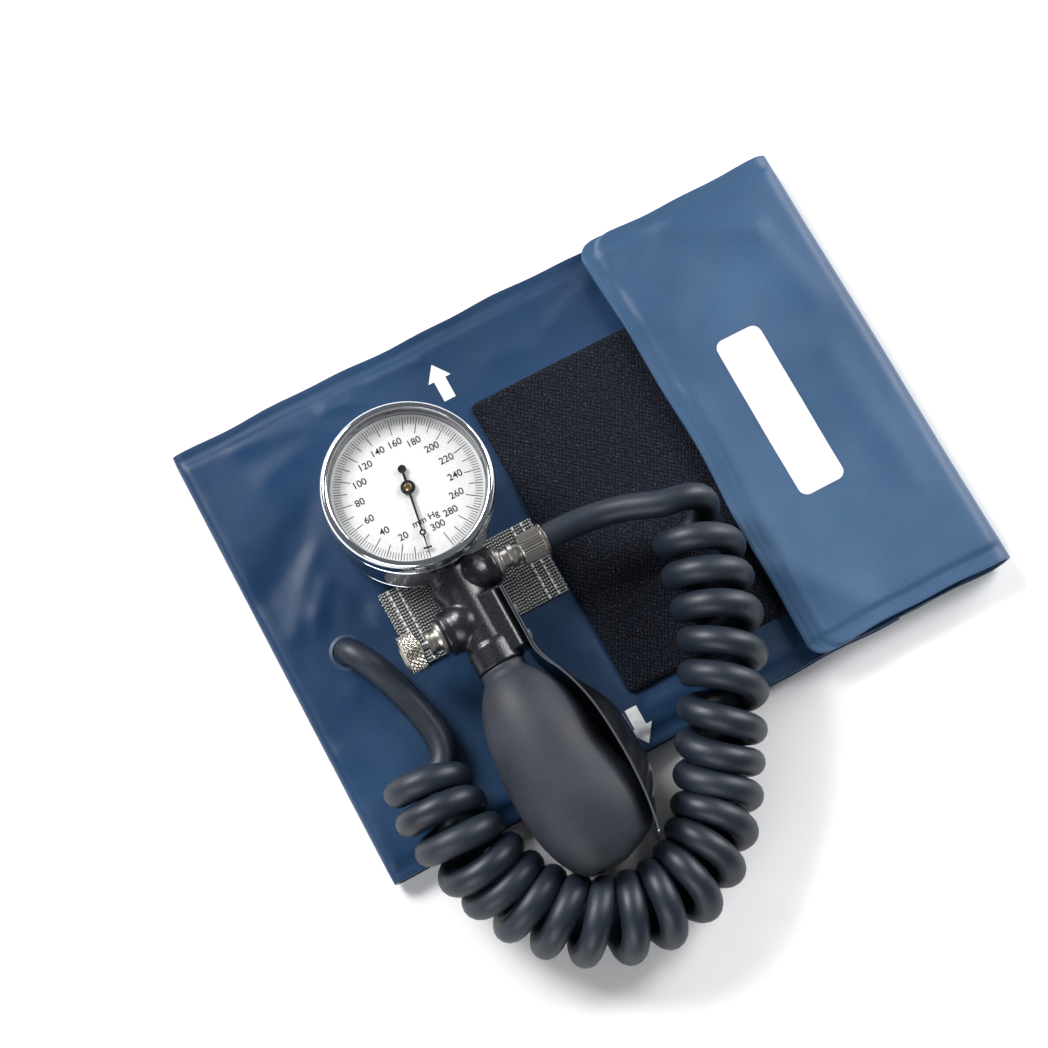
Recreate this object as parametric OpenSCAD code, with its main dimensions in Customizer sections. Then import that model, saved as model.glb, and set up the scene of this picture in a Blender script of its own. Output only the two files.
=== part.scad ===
// Blood pressure cuff: folded sleeve with a hook and loop flap, curly air hose,
// and a hand unit made of a dial gauge, a cast manifold, a rubber bulb and a spoon lever.
// The folded sleeve lies flat on Z = 0 and its long side runs along X.

/* [Cuff sleeve] */
// Length of the folded sleeve
cuff_len = 219; // [214:1:230]
// Width of the sleeve
cuff_w = 156; // [150:1:170]
// Thickness of the back panel and of the flap
sheet_t = 2; // [1.6:0.1:2.4]
// Thickness of the main panel, whose two welded faces hold the air
panel_t = 3.6; // [3.4:0.1:4.4]
// Air gap inside the flattened sleeve
sleeve_gap = 1; // [0.6:0.1:1.4]
// How far the flap reaches back from the right fold
flap_len = 71; // [64:1:76]
// Thickness of the loop patch
loop_t = 1.6; // [1.2:0.1:2]
// Thickness of the hook patch
hook_t = 1.2; // [0.8:0.1:1.6]
// Length and width of the webbing strap
strap_size = [54, 26.5]; // [20:0.5:60]

/* [Hand unit] */
// Outer diameter of the gauge bezel
bezel_d = 54; // [52:0.5:56]
// Height of the hand unit's axis above the table
unit_z = 24; // [24:0.5:26]
// Largest diameter of the rubber bulb
bulb_d = 33; // [30:0.5:33]
// Length of the rubber bulb
bulb_len = 69; // [66:0.5:70]
// Wall thickness of the rubber bulb
bulb_wall = 2.4; // [1.6:0.1:3]
// Height of the spoon lever at its widest
spoon_w = 29; // [24:0.5:30]
// How far the spoon lever's dish bulges away from the bulb
spoon_dish = 7; // [4:0.5:8]
// Diameter of the release knob
knob_d = 12.6; // [11:0.2:13]
// Length of the release knob
knob_len = 6.2; // [5:0.1:7]

/* [Gauge movement] */
// Module of the pinion and the sector gear
gear_module = 0.4; // [0.38:0.01:0.42]
// Number of teeth on the pinion
pinion_teeth = 8; // [8:1:8]
// Number of teeth on a full circle of the sector gear
sector_full_teeth = 64; // [64:1:64]
// Radius of the pointer's arbor
arbor_r = 0.6; // [0.5:0.05:0.7]

/* [Air hose] */
// Outer diameter of the air hose
hose_d = 8.6; // [8:0.1:9]
// Outer diameter of the curly part
coil_d = 28.3; // [27:0.1:28.5]

/* [Hidden] */
$fn = 64;
eps = 0.01;

// Layers of the folded cuff, from the table upwards
back_top = sheet_t;
panel_z = back_top + sleeve_gap;
panel_top = panel_z + panel_t;
loop_top = panel_top + loop_t;
hook_z = loop_top + 0.3;
flap_z = hook_z + hook_t;
flap_top = flap_z + sheet_t;

// The bulb and the spoon lever overhang the cuff, so the cuff sits off centre in Y
cuff_y = 14;
cuff_left = -cuff_len / 2;
cuff_right = cuff_len / 2;
cuff_low = cuff_y - cuff_w / 2;
fold_r = flap_top / 2;
fold_x = cuff_right - fold_r;
left_r = panel_top / 2;
panel_right = 95;
flap_left = cuff_right - flap_len;
corner_r = 5;

// Patches, strap, port and the air pocket between the welded faces
loop_box = [[-17.5, -46], [88, 61]];
hook_box = [[44, -38], [88, 66]];
strap_at = [-72.5, -7.5];
port_at = [-89, 7.6];
eyelet_r = 8;
port_hole_r = 4.5;
pocket_wall = 0.9;
pocket_box = [[-98, -58], [90, 86]];

// Hand unit: one axis along Y, with the gauge above and the bulb below
unit_x = -50.5;
gauge_y = 38;
case_r = bezel_d / 2 - 1.5;
case_wall = 1.5;
case_floor = 2;
case_z = loop_top + 0.3;
case_top = 36.4;
lens_z = case_top + 1;
lens_t = 1.6;
bezel_top = 40.4;
dial_r = 24.2;
dial_z = 34.4;
dial_t = 0.6;
case_inner_r = case_r - case_wall;

// Movement inside the gauge
sector_pitch_r = gear_module * sector_full_teeth / 2;
pinion_pitch_r = gear_module * pinion_teeth / 2;
gear_centre = sector_pitch_r + pinion_pitch_r;
gear_z = 23;
gear_t = 1.2;
lower_plate_z = 18.6;
upper_plate_z = 28;
plate_t = 1;
plate_r = 19;
plate_half_w = 10.5;
pillar_r = 1.4;
screw_hole_r = 0.7;
pillar_spots = [[-15, 5.5], [-15, -5.5], [15.5, 8.2]];
capsule_r = 13.5;
pin_at = [9, -7];
capsule_low = case_z + case_floor;
capsule_top = 16.6;
pin_r = 1.2;

// Ports and valves on the manifold
barrel_r = 7.3;
rim_r = 7.8;
stem_r = 4;
stem_end_y = 16;
barrel_top_y = 11.5;
rim_y = -22;
spigot_r = 5.5;
spigot_end_y = -29;
port_y = 6.8;
valve_y = -6;
air_bore_r = 1.8;
side_bore_r = 1.4;
boss_right_x = -37;
boss_right_r = 5.6;
boss_left_r = 6.8;
boss_left_x = -61.5;
pad_x = -40;
nipple_flange_t = 1.2;
neck_r = 3;
hose_start_x = -19.2;
collar_x = [-28.4, -19.5];
collar_r = 4.75;
bush_flange_t = 1.1;
gasket_t = 0.5;
knob_x = -69.4;
needle_r = 1.5;
run_gap = 0.04;

// Bulb
bulb_y = -23;
bulb_end_y = bulb_y - bulb_len;
bulb_neck_r = 7.2;
inlet_r = 4.5;

// Spoon lever
spoon_t = 1.2;
spoon_top_y = -0.5;
spoon_tip_y = -91.5;
spoon_screw_y = [-9, -18];
screw_r = 1.2;

// Coil route, along the middle of the curly part
coil_route = [[23.5, -3, 22.5], [23.5, -8, 22.5], [22, -17, 22.5], [19.5, -26, 22.6], [17, -36, 22.6],
    [13.5, -46, 22.6], [9, -55, 21.9], [4.5, -63, 21.5], [-1, -72, 19.3], [-6, -80, 16.4],
    [-11, -88, 14.5], [-17.5, -96, 14.3], [-25.5, -102.5, 14.3], [-35, -106.8, 14.3],
    [-46, -107.8, 14.3], [-57, -105.6, 14.3], [-66, -100.2, 14.3], [-73.5, -92.8, 14.4],
    [-79, -84.4, 15.4], [-83, -74.5, 18.2], [-86, -64, 21.4], [-87.5, -52, 21.4], [-87.5, -41, 21.2]];
// Hose from the gauge side to the curly part
lead_gauge_route = [[hose_start_x, port_y, unit_z], [-12, 6.9, 23.6], [-2, 7.2, 23.2], [8, 7, 24.6],
    [17, 5.5, 27], [22.4, 2, 28], [23.5, -1, 28], [23.5, -2.6, 28]];
// Hose from the curly part to the cuff's port
lead_cuff_route = [[-84, -41, 11.6], [-84, -38.6, 11.4], [-80.5, -33.5, 11.2], [-77.6, -28, 11.1],
    [-78.3, -21, 11.1], [-80, -13, 11.1], [-83.2, -3.4, 11.5], [-86.5, 2.6, 11.9]];

function unit_vec(v) = v / norm(v);
function route_dir(p, i) = unit_vec(p[min(i + 1, len(p) - 1)] - p[max(i - 1, 0)]);
function ring(p, i, r, sides) =
    let (t = route_dir(p, i), s = unit_vec(cross(t, [0, 0, 1])), u = cross(s, t))
    [for (k = [0 : sides - 1]) p[i] + r * (cos(360 * k / sides) * s + sin(360 * k / sides) * u)];
function side_faces(n, m) = [for (i = [0 : n - 2], k = [0 : m - 1])
    [i * m + k, i * m + (k + 1) % m, (i + 1) * m + (k + 1) % m, (i + 1) * m + k]];

// Tube of round section swept along a route
module tube(route, r, sides) {
    n = len(route);
    points = [for (i = [0 : n - 1]) each ring(route, i, r, sides)];
    start_cap = [[for (k = [sides - 1 : -1 : 0]) k]];
    end_cap = [[for (k = [0 : sides - 1]) (n - 1) * sides + k]];
    polyhedron(points, concat(start_cap, side_faces(n, sides), end_cap), convexity = 8);
}

// Flat plate between two corners, with rounded corners
module plate(box, z, t, r = 3) {
    size = box[1] - box[0];
    translate([box[0].x, box[0].y, z]) linear_extrude(t) union() {
        translate([r, 0]) square([size.x - 2 * r, size.y]);
        translate([0, r]) square([size.x, size.y - 2 * r]);
        for (x = [r, size.x - r], y = [r, size.y - r]) translate([x, y]) circle(r);
    }
}

// Profile in XZ extruded over the cuff's width
module across_cuff() {
    translate([0, cuff_low + cuff_w, 0]) rotate([90, 0, 0]) linear_extrude(cuff_w) children();
}

// Cylinder along X or along Y
module rod_x(x0, x1, r) { translate([x0, 0, 0]) rotate([0, 90, 0]) cylinder(h = x1 - x0, r = r); }
module rod_y(y0, y1, r) { translate([0, y0, 0]) rotate([-90, 0, 0]) cylinder(h = y1 - y0, r = r); }
module at_unit() { translate([unit_x, 0, unit_z]) children(); }
module at_gauge(z = 0) { translate([unit_x, gauge_y, z]) children(); }
module at_port() { translate([0, port_y, unit_z]) children(); }
module at_valve() { translate([0, valve_y, unit_z]) children(); }
module ring_z(z0, z1, r_out, r_in) {
    translate([0, 0, z0]) difference() {
        cylinder(h = z1 - z0, r = r_out);
        translate([0, 0, -1]) cylinder(h = z1 - z0 + 2, r = r_in);
    }
}

/* ---- cuff ---- */

module cuff_sleeve() {
    color("#1d3d6b") difference() {
        across_cuff() difference() {
            union() {
                translate([cuff_left + left_r, 0]) square([fold_x - cuff_left - left_r, back_top]);
                translate([cuff_left + left_r, panel_z]) square([panel_right - cuff_left - left_r, panel_t]);
                translate([cuff_left + left_r, left_r]) intersection() {
                    circle(left_r);
                    translate([-2 * left_r, -left_r]) square([2 * left_r + eps, 2 * left_r]);
                }
            }
            translate([cuff_left + left_r, back_top + sleeve_gap / 2]) circle(sleeve_gap / 2);
        }
        pocket_size = pocket_box[1] - pocket_box[0];
        translate([pocket_box[0].x, pocket_box[0].y, panel_z + pocket_wall])
            cube([pocket_size.x, pocket_size.y, panel_t - 2 * pocket_wall]);
        translate([port_at.x, port_at.y, panel_z + panel_t / 2]) cylinder(h = panel_t, r = port_hole_r);
    }
}

module loop_patch() { color("#101114") plate(loop_box, panel_top, loop_t, 2); }

module gauge_strap() {
    color("#8b8b86") plate([strap_at, strap_at + strap_size], panel_top, loop_t, 0.8);
}

module port_eyelet() {
    color("#2c568c") translate([port_at.x, port_at.y, 0])
        ring_z(panel_top, panel_top + 0.9, eyelet_r, port_hole_r);
}

// Moulded stub whose flange is welded under the panel's upper face
module port_elbow() {
    flange_r = 7;
    flange_t = 0.6;
    face_low = panel_top - pocket_wall;
    stub_top = panel_top + 2.4;
    color("#2a2c31") translate([port_at.x, port_at.y, 0]) difference() {
        union() {
            translate([0, 0, face_low - flange_t]) cylinder(h = flange_t, r = flange_r);
            translate([0, 0, face_low - flange_t]) cylinder(h = flange_t + pocket_wall, r = port_hole_r);
            translate([0, 0, panel_top]) cylinder(h = stub_top - panel_top, r = port_hole_r - 0.4);
            translate([0, 0, stub_top]) cylinder(h = 2, r = 2.2);
        }
        translate([0, 0, panel_z]) cylinder(h = 12, r = 1.2);
    }
}

module hose_coil() { color("#26292f") tube(coil_route, coil_d / 2, 12); }
module hose_lead_cuff() { color("#26292f") tube(lead_cuff_route, hose_d / 2, 10); }
module hose_lead_gauge() { color("#26292f") tube(lead_gauge_route, hose_d / 2, 10); }

module cuff_fold() {
    color("#24487a") across_cuff() translate([fold_x, fold_r]) intersection() {
        difference() {
            circle(fold_r);
            circle(fold_r - sheet_t);
        }
        translate([0, -fold_r]) square([fold_r, 2 * fold_r]);
    }
}

module cuff_flap() {
    color("#3a659c") translate([flap_left, cuff_low, flap_z]) linear_extrude(sheet_t) union() {
        translate([corner_r, 0]) square([fold_x - flap_left - corner_r, cuff_w]);
        translate([0, corner_r]) square([corner_r + 1, cuff_w - 2 * corner_r]);
        for (y = [corner_r, cuff_w - corner_r]) translate([corner_r, y]) circle(corner_r);
    }
}

module hook_patch() { color("#17181b") plate(hook_box, hook_z, hook_t, 2); }

/* ---- gauge ---- */

module gauge_case() {
    color("#c9ccd0") difference() {
        at_gauge() rotate_extrude($fn = 96) polygon([[0, case_z], [case_r - 2, case_z], [case_r, case_z + 2],
            [case_r, case_top], [case_inner_r, case_top], [case_inner_r, dial_z], [case_inner_r - 1, dial_z],
            [case_inner_r - 1, dial_z - 0.8], [case_inner_r, dial_z - 2], [case_inner_r, case_z + case_floor + 1],
            [case_inner_r - 1, case_z + case_floor], [0, case_z + case_floor]]);
        at_unit() rod_y(gauge_y - case_r - 2, gauge_y - case_inner_r + 3, stem_r);
    }
}

module gauge_bezel() {
    lip_r = dial_r + 0.2;
    out_r = bezel_d / 2;
    skirt_z = case_top - 3.5;
    color("#d9dadc") at_gauge() rotate_extrude($fn = 96) polygon([[case_r, skirt_z], [out_r - 0.5, skirt_z],
        [out_r, skirt_z + 0.6], [out_r, bezel_top - 1.6], [out_r - 0.5, bezel_top - 0.5], [out_r - 1.4, bezel_top],
        [lip_r + 0.5, bezel_top - 0.2], [lip_r, bezel_top - 0.8], [lip_r, lens_z + lens_t], [case_r, lens_z + lens_t]]);
}

module lens_gasket() { color("#15161a") at_gauge() ring_z(case_top, lens_z, case_r - 0.1, dial_r - 0.4); }
module gauge_lens() { color([0.85, 0.9, 0.95, 0.35]) at_gauge(lens_z) cylinder(h = lens_t, r = case_r - 0.1, $fn = 96); }

module dial_plate() {
    color("#f4f4f2") at_gauge(dial_z) difference() {
        cylinder(h = dial_t, r = case_inner_r - 0.1, $fn = 96);
        translate([0, 0, -1]) cylinder(h = dial_t + 2, r = arbor_r + 0.4);
    }
}

// Outline shared by both movement plates: a disc cut to a band, with two arbor holes
module movement_plate(z) {
    color("#c2a35a") at_gauge(z) difference() {
        intersection() {
            cylinder(h = plate_t, r = plate_r);
            translate([-plate_r, -plate_half_w, -1]) cube([2 * plate_r, 2 * plate_half_w, plate_t + 2]);
        }
        translate([0, 0, -1]) cylinder(h = plate_t + 2, r = arbor_r + run_gap);
        translate([gear_centre, 0, -1]) cylinder(h = plate_t + 2, r = arbor_r + run_gap);
        for (p = pillar_spots) translate([p.x, p.y, -1]) cylinder(h = plate_t + 2, r = screw_hole_r);
    }
}

module movement_lower_plate() {
    difference() {
        movement_plate(lower_plate_z);
        at_gauge(lower_plate_z - 1) translate([pin_at.x, pin_at.y, 0])
            cylinder(h = plate_t + 2, r = pin_r + 0.2);
    }
}
module movement_upper_plate() { movement_plate(upper_plate_z); }

module movement_pillars() {
    spans = [[case_z + case_floor, lower_plate_z], [lower_plate_z + plate_t, upper_plate_z]];
    color("#b89a55") for (p = pillar_spots, span = spans) at_gauge() translate([p.x, p.y, 0])
        ring_z(span[0], span[1], pillar_r, screw_hole_r);
}

module movement_screws() {
    head_z = upper_plate_z + plate_t;
    color("#bfc2c6") for (p = pillar_spots) at_gauge() translate([p.x, p.y, 0]) {
        translate([0, 0, case_z + case_floor]) cylinder(h = head_z - case_z - case_floor, r = screw_hole_r);
        translate([0, 0, head_z]) cylinder(h = 0.9, r = 1.3);
    }
}

// Two soldered diaphragms with a corrugated edge
module capsule() {
    steps = 4;
    rise = (capsule_top - capsule_low) / 2;
    wave = [for (i = [0 : steps]) [capsule_r - 3 * i, capsule_low + rise + 0.5 + rise * i / (steps + 1) + 0.4 * (i % 2)]];
    color("#c8a552") at_gauge() rotate_extrude() polygon(concat([[0, capsule_low], [4, capsule_low],
        [5, capsule_low + 1.2], [capsule_r, capsule_low + 1.8]], wave, [[0, capsule_top - 0.2]]));
}

// Flat spiral around the pointer's arbor
module hairspring() {
    turns = 4;
    strip = 0.25;
    steps = 20;
    pitch = 0.8;
    start_r = arbor_r + 1.2;
    function arm(r, i) = [(r + pitch * i / steps) * cos(360 * i / steps), (r + pitch * i / steps) * sin(360 * i / steps)];
    inner = [for (i = [0 : turns * steps]) arm(start_r, i)];
    outer = [for (i = [turns * steps : -1 : 0]) arm(start_r + strip, i)];
    color("#9fb4c8") at_gauge(25.6) linear_extrude(0.6) polygon(concat(inner, outer));
}

module pointer_needle() {
    t = 0.35;
    eye_at = 15;
    tail_at = -6.2;
    color("#0c0c0e") at_gauge(dial_z + dial_t + 0.8) rotate([0, 0, -100]) difference() {
        union() {
            cylinder(h = t, r = 2.3);
            linear_extrude(t) polygon([[tail_at, 0.35], [tail_at, -0.35], [0, -0.45],
                [20.6, -0.16], [20.6, 0.16], [0, 0.45]]);
            translate([tail_at, 0, 0]) cylinder(h = t, r = 1.3);
            translate([eye_at, 0, 0]) cylinder(h = t, r = 1);
            translate([19.8, -1.3, 0]) cube([0.5, 2.6, t]);
        }
        translate([eye_at, 0, -1]) cylinder(h = t + 2, r = 0.5);
        translate([0, 0, -1]) cylinder(h = t + 2, r = arbor_r);
    }
}

module pointer_cap() {
    color("#b8924a") at_gauge(dial_z + dial_t + 1.15) {
        cylinder(h = 0.5, r = 1.2);
        translate([0, 0, 0.5]) cylinder(h = 0.4, r1 = 1.2, r2 = 0.8);
    }
}

module pointer_arbor() {
    color("#c8cbd0") at_gauge(lower_plate_z) cylinder(h = dial_z + dial_t + 1.15 - lower_plate_z, r = arbor_r);
}

// One gear tooth pointing along +X, narrow enough to leave backlash
module tooth(root_r, tip_r, root_half, tip_half, t) {
    linear_extrude(t) polygon([[root_r - 0.3, root_half], [root_r, root_half], [tip_r, tip_half],
        [tip_r, -tip_half], [root_r, -root_half], [root_r - 0.3, -root_half]]);
}

module pinion() {
    root = pinion_pitch_r - 1.15 * gear_module;
    tip = pinion_pitch_r + 0.75 * gear_module;
    color("#d0b060") at_gauge(gear_z) difference() {
        union() {
            cylinder(h = gear_t, r = root);
            for (k = [0 : pinion_teeth - 1]) rotate([0, 0, 360 * k / pinion_teeth])
                tooth(root, tip, 0.26, 0.1, gear_t);
        }
        translate([0, 0, -1]) cylinder(h = gear_t + 2, r = arbor_r);
    }
}

module sector_gear() {
    root = sector_pitch_r - 1.1 * gear_module;
    tip = sector_pitch_r + 0.6 * gear_module;
    t = gear_t - 0.2;
    step = 360 / sector_full_teeth;
    low_angle = 180 - 9.5 * step - 1.5;
    high_angle = 180 + 0.5 * step + 1.5;
    mid = (low_angle + high_angle) / 2;
    color("#c9a94f") at_gauge(gear_z) translate([gear_centre, 0, 0.1]) difference() {
        union() {
            cylinder(h = t, r = 2.2);
            rotate([0, 0, low_angle]) rotate_extrude(angle = high_angle - low_angle, $fn = 128)
                translate([root - 2, 0]) square([2, t]);
            for (k = [-9 : 0]) rotate([0, 0, 180 + step / 2 + step * k]) tooth(root, tip, 0.24, 0.1, t);
            for (a = [low_angle + 8, mid, high_angle - 8]) rotate([0, 0, a]) translate([0, -0.7, 0])
                cube([root - 1, 1.4, t]);
            rotate([0, 0, -60]) translate([0, -0.9, 0]) cube([6.5, 1.8, t]);
        }
        translate([0, 0, -1]) cylinder(h = t + 2, r = arbor_r);
    }
}

module sector_arbor() {
    color("#c8cbd0") at_gauge(lower_plate_z) translate([gear_centre, 0, 0])
        cylinder(h = upper_plate_z + plate_t - lower_plate_z, r = arbor_r);
}

module capsule_pin() {
    color("#b0b4b8") at_gauge(capsule_top + 0.1) translate([pin_at.x, pin_at.y, 0]) {
        cylinder(h = 4.4, r = pin_r);
        cylinder(h = 0.6, r = 2.4);
    }
}

/* ---- manifold, valves and hose connector ---- */

module manifold_solid() {
    difference() {
        union() {
            at_unit() {
                rod_y(rim_y + 2, barrel_top_y, barrel_r);
                rod_y(rim_y - 1, rim_y + 2, rim_r);
                rod_y(spigot_end_y, rim_y, spigot_r);
            }
            at_port() rod_x(unit_x, boss_right_x, boss_right_r);
            at_valve() rod_x(boss_left_x, unit_x, boss_left_r);
            translate([unit_x, -21, unit_z - 6]) cube([pad_x - unit_x, 20, 12]);
        }
        at_gauge() cylinder(h = case_top, r = case_r + 0.05, $fn = 96);
        at_gauge(case_top - 3.8) cylinder(h = 10, r = bezel_d / 2 + 0.1, $fn = 96);
    }
    at_unit() rod_y(port_y, stem_end_y, stem_r);
}

module manifold_body() {
    color("#1b1d22") difference() {
        manifold_solid();
        at_unit() rod_y(spigot_end_y - 1, stem_end_y + 1, air_bore_r);
        at_unit() rod_y(spigot_end_y - 1, spigot_end_y + 3, 3.2);
        at_port() rod_x(unit_x, boss_right_x + 1, side_bore_r);
        at_port() rod_x(boss_right_x - 4, boss_right_x + 1, neck_r);
        at_valve() rod_x(boss_left_x - 1, unit_x, side_bore_r);
        at_valve() rod_x(boss_left_x - 1, boss_left_x + 6, 4);
        for (y = spoon_screw_y) translate([0, y, unit_z]) rod_x(pad_x - 4, pad_x + 1, screw_r);
    }
}

module hose_nipple() {
    color("#d2cfc6") at_port() difference() {
        union() {
            rod_x(boss_right_x - 4, hose_start_x, neck_r);
            rod_x(boss_right_x, boss_right_x + nipple_flange_t, 5.2);
        }
        rod_x(boss_right_x - 5, hose_start_x + 1, 1.6);
    }
}

module hose_collar() {
    color("#cfcabd") at_port() difference() {
        union() {
            rod_x(collar_x[0], collar_x[1], collar_r);
            rod_x(collar_x[1] - 1, collar_x[1], collar_r + 0.5);
        }
        rod_x(collar_x[0] - 1, collar_x[1] + 1, neck_r + run_gap);
    }
}

module valve_gasket() {
    color("#121316") at_valve() difference() {
        rod_x(boss_left_x - gasket_t, boss_left_x, 5.3);
        rod_x(boss_left_x - 2, boss_left_x + 1, 4);
    }
}

module valve_bush() {
    flange_x = boss_left_x - gasket_t;
    color("#d8d5cc") at_valve() difference() {
        union() {
            rod_x(flange_x - bush_flange_t, flange_x, 5.4);
            rod_x(flange_x - 5.2, boss_left_x + 6, 4);
        }
        rod_x(flange_x - 6, boss_left_x + 7, needle_r + run_gap);
    }
}

module valve_needle() {
    tip_x = boss_left_x + 5.8;
    color("#c4c6c9") at_valve() {
        rod_x(knob_x - knob_len + 0.8, tip_x, needle_r);
        translate([tip_x, 0, 0]) rotate([0, 90, 0]) cylinder(h = 1.8, r1 = needle_r, r2 = 0.4);
    }
}

module valve_knob() {
    color("#d9d4c6") at_valve() difference() {
        rod_x(knob_x - knob_len, knob_x, knob_d / 2);
        rod_x(knob_x - knob_len + 0.76, knob_x + 1, needle_r + run_gap);
    }
}

module outlet_disc() { color("#8a2f2a") at_unit() rod_y(spigot_end_y + 1.5, spigot_end_y + 2.4, 2.9); }

/* ---- bulb and spoon lever ---- */

// Half profile of the bulb: a short neck, full shoulders and a round end
function bulb_half(t, r) = r * pow(max(0, 1 - pow(abs(2 * t - 1), 2.6)), 0.5);
function bulb_r_at(t, r) = bulb_half(0.03 + 0.94 * t, r) * (0.95 + 0.08 * ramp(t, 0, 0.6) - 0.03 * t);

module rubber_bulb() {
    n = 28;
    shell_r = bulb_d / 2;
    inner_len = bulb_len - 2 * bulb_wall;
    outline = [for (i = [1 : n - 1]) [bulb_r_at(i / n, shell_r), bulb_len * i / n]];
    hollow = [for (i = [1 : n - 1])
        [bulb_r_at(i / n, shell_r - bulb_wall), bulb_wall + inner_len * i / n]];
    color("#3d3f45") translate([unit_x, bulb_y, unit_z]) rotate([90, 0, 0]) difference() {
        rotate_extrude() polygon(concat([[0, 0], [bulb_neck_r, 0], [bulb_neck_r, 1.2]], outline,
            [[inlet_r + 1.5, bulb_len], [0, bulb_len]]));
        rotate_extrude() polygon(concat([[0, bulb_wall + 1]], hollow, [[0, bulb_len - bulb_wall - 1]]));
        translate([0, 0, -1]) cylinder(h = 8, r = spigot_r);
        translate([0, 0, bulb_len - 9]) cylinder(h = 10, r = inlet_r);
    }
}

module inlet_valve_body() {
    color("#c6c8cb") at_unit() difference() {
        rod_y(bulb_end_y, bulb_end_y + 11, inlet_r);
        rod_y(bulb_end_y + 3, bulb_end_y + 9, 2.2);
        rod_y(bulb_end_y - 1, bulb_end_y + 12, 0.9);
    }
}

module inlet_ball() { color("#b9bcc0") at_unit() translate([0, bulb_end_y + 5, 0]) sphere(1.8); }

// Spoon lever: where its edge runs, how tall it is, and how deep its dish is, at a place s from 0 to 1
spoon_len = spoon_top_y - spoon_tip_y;
spoon_bend = 0.25;
spoon_flat_x = pad_x;
spoon_edge_x = -32;
function ease(s) = s * s * (3 - 2 * s);
function ramp(s, a, b) = ease(min(1, max(0, (s - a) / (b - a))));
function spoon_x(s) = spoon_flat_x + (spoon_edge_x - spoon_flat_x) * ramp(s, spoon_bend, 0.5) - 1.6 * ramp(s, 0.8, 1);
function spoon_half_h(s) = 6.5 + (spoon_w / 2 - 6.5) * ramp(s, spoon_bend, 0.55)
    - (spoon_w / 2 - 5) * (1 - sqrt(max(0, 1 - pow(max(0, (s - 0.72) / 0.28), 2.2))));
function spoon_bulge(s) = spoon_dish * ramp(s, spoon_bend, 0.55) * (1 - ramp(s, 0.72, 1));
function spoon_row(s, side) = [for (v = [-1 : 0.25 : 1])
    [spoon_x(s) + side * spoon_t + spoon_bulge(s) * (1 - v * v), spoon_top_y - spoon_len * s,
        unit_z + v * spoon_half_h(s)]];

module spoon_blade() {
    rows = 32;
    m = 9;
    loops = [for (i = [0 : rows]) let (s = i / rows)
        concat(spoon_row(s, 0), [for (k = [m - 1 : -1 : 0]) spoon_row(s, 1)[k]])];
    last = rows * 2 * m;
    start_cap = [for (k = [0 : m - 2]) [k + 1, k, 2 * m - 1 - k, 2 * m - 2 - k]];
    end_cap = [for (k = [0 : m - 2]) [last + k, last + k + 1, last + 2 * m - 2 - k, last + 2 * m - 1 - k]];
    polyhedron([for (l = loops) each l], concat(side_faces(rows + 1, 2 * m), start_cap, end_cap), convexity = 6);
}

module spoon_lever() {
    color("#101216") difference() {
        spoon_blade();
        for (y = spoon_screw_y) translate([0, y, unit_z]) rod_x(pad_x - 1, pad_x + 3, screw_r);
    }
}

module spoon_screws() {
    color("#c2bfb6") for (y = spoon_screw_y) translate([0, y, unit_z]) {
        rod_x(pad_x - 3.8, pad_x + spoon_t, screw_r);
        rod_x(pad_x + spoon_t, pad_x + spoon_t + 1.1, 2.2);
    }
}

cuff_sleeve();
loop_patch();
gauge_strap();
port_eyelet();
port_elbow();
hose_coil();
hose_lead_cuff();
cuff_fold();
cuff_flap();
hook_patch();
manifold_body();
gauge_case();
gauge_bezel();
lens_gasket();
gauge_lens();
dial_plate();
movement_lower_plate();
movement_upper_plate();
movement_pillars();
movement_screws();
capsule();
hairspring();
valve_bush();
valve_gasket();
hose_nipple();
hose_lead_gauge();
rubber_bulb();
inlet_valve_body();
spoon_lever();
spoon_screws();
pointer_needle();
pointer_cap();
pointer_arbor();
pinion();
sector_gear();
sector_arbor();
capsule_pin();
valve_knob();
valve_needle();
hose_collar();
inlet_ball();
outlet_disc();
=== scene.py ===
"""Looks for the blood pressure cuff: a folded sleeve, a curly hose and a hand unit.

Lengths are written in millimetres and turned into metres when a mesh is made.
"""

import math

import bmesh
import bpy
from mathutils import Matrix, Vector


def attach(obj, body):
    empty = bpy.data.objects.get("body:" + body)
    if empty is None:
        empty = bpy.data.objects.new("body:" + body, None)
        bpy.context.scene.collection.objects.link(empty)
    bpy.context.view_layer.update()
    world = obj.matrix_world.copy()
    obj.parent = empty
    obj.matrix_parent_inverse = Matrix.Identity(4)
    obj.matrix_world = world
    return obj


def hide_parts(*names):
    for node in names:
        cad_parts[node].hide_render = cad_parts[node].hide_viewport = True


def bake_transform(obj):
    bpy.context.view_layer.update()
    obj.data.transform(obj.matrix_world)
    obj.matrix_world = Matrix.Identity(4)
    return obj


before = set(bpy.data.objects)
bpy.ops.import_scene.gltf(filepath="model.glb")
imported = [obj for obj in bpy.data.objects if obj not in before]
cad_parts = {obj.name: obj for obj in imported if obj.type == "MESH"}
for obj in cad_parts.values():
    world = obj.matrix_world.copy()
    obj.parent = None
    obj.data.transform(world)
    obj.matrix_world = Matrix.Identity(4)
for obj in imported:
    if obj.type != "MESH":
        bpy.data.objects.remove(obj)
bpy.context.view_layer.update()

MM = 0.001
scene = bpy.context.scene
TAU = 2 * math.pi

# The hand unit's long axis, and the places along it that its pieces share
UNIT_X, UNIT_Z = -50.5, 24.0
GAUGE_Y, HOSE_Y, VALVE_Y = 38.0, 6.8, -6.0


# ---------------------------------------------------------------- small maths


def ramp(v, a, b):
    """0 up to a, 1 past b and smooth between."""
    t = min(1.0, max(0.0, (v - a) / (b - a)))
    return t * t * (3 - 2 * t)


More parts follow.
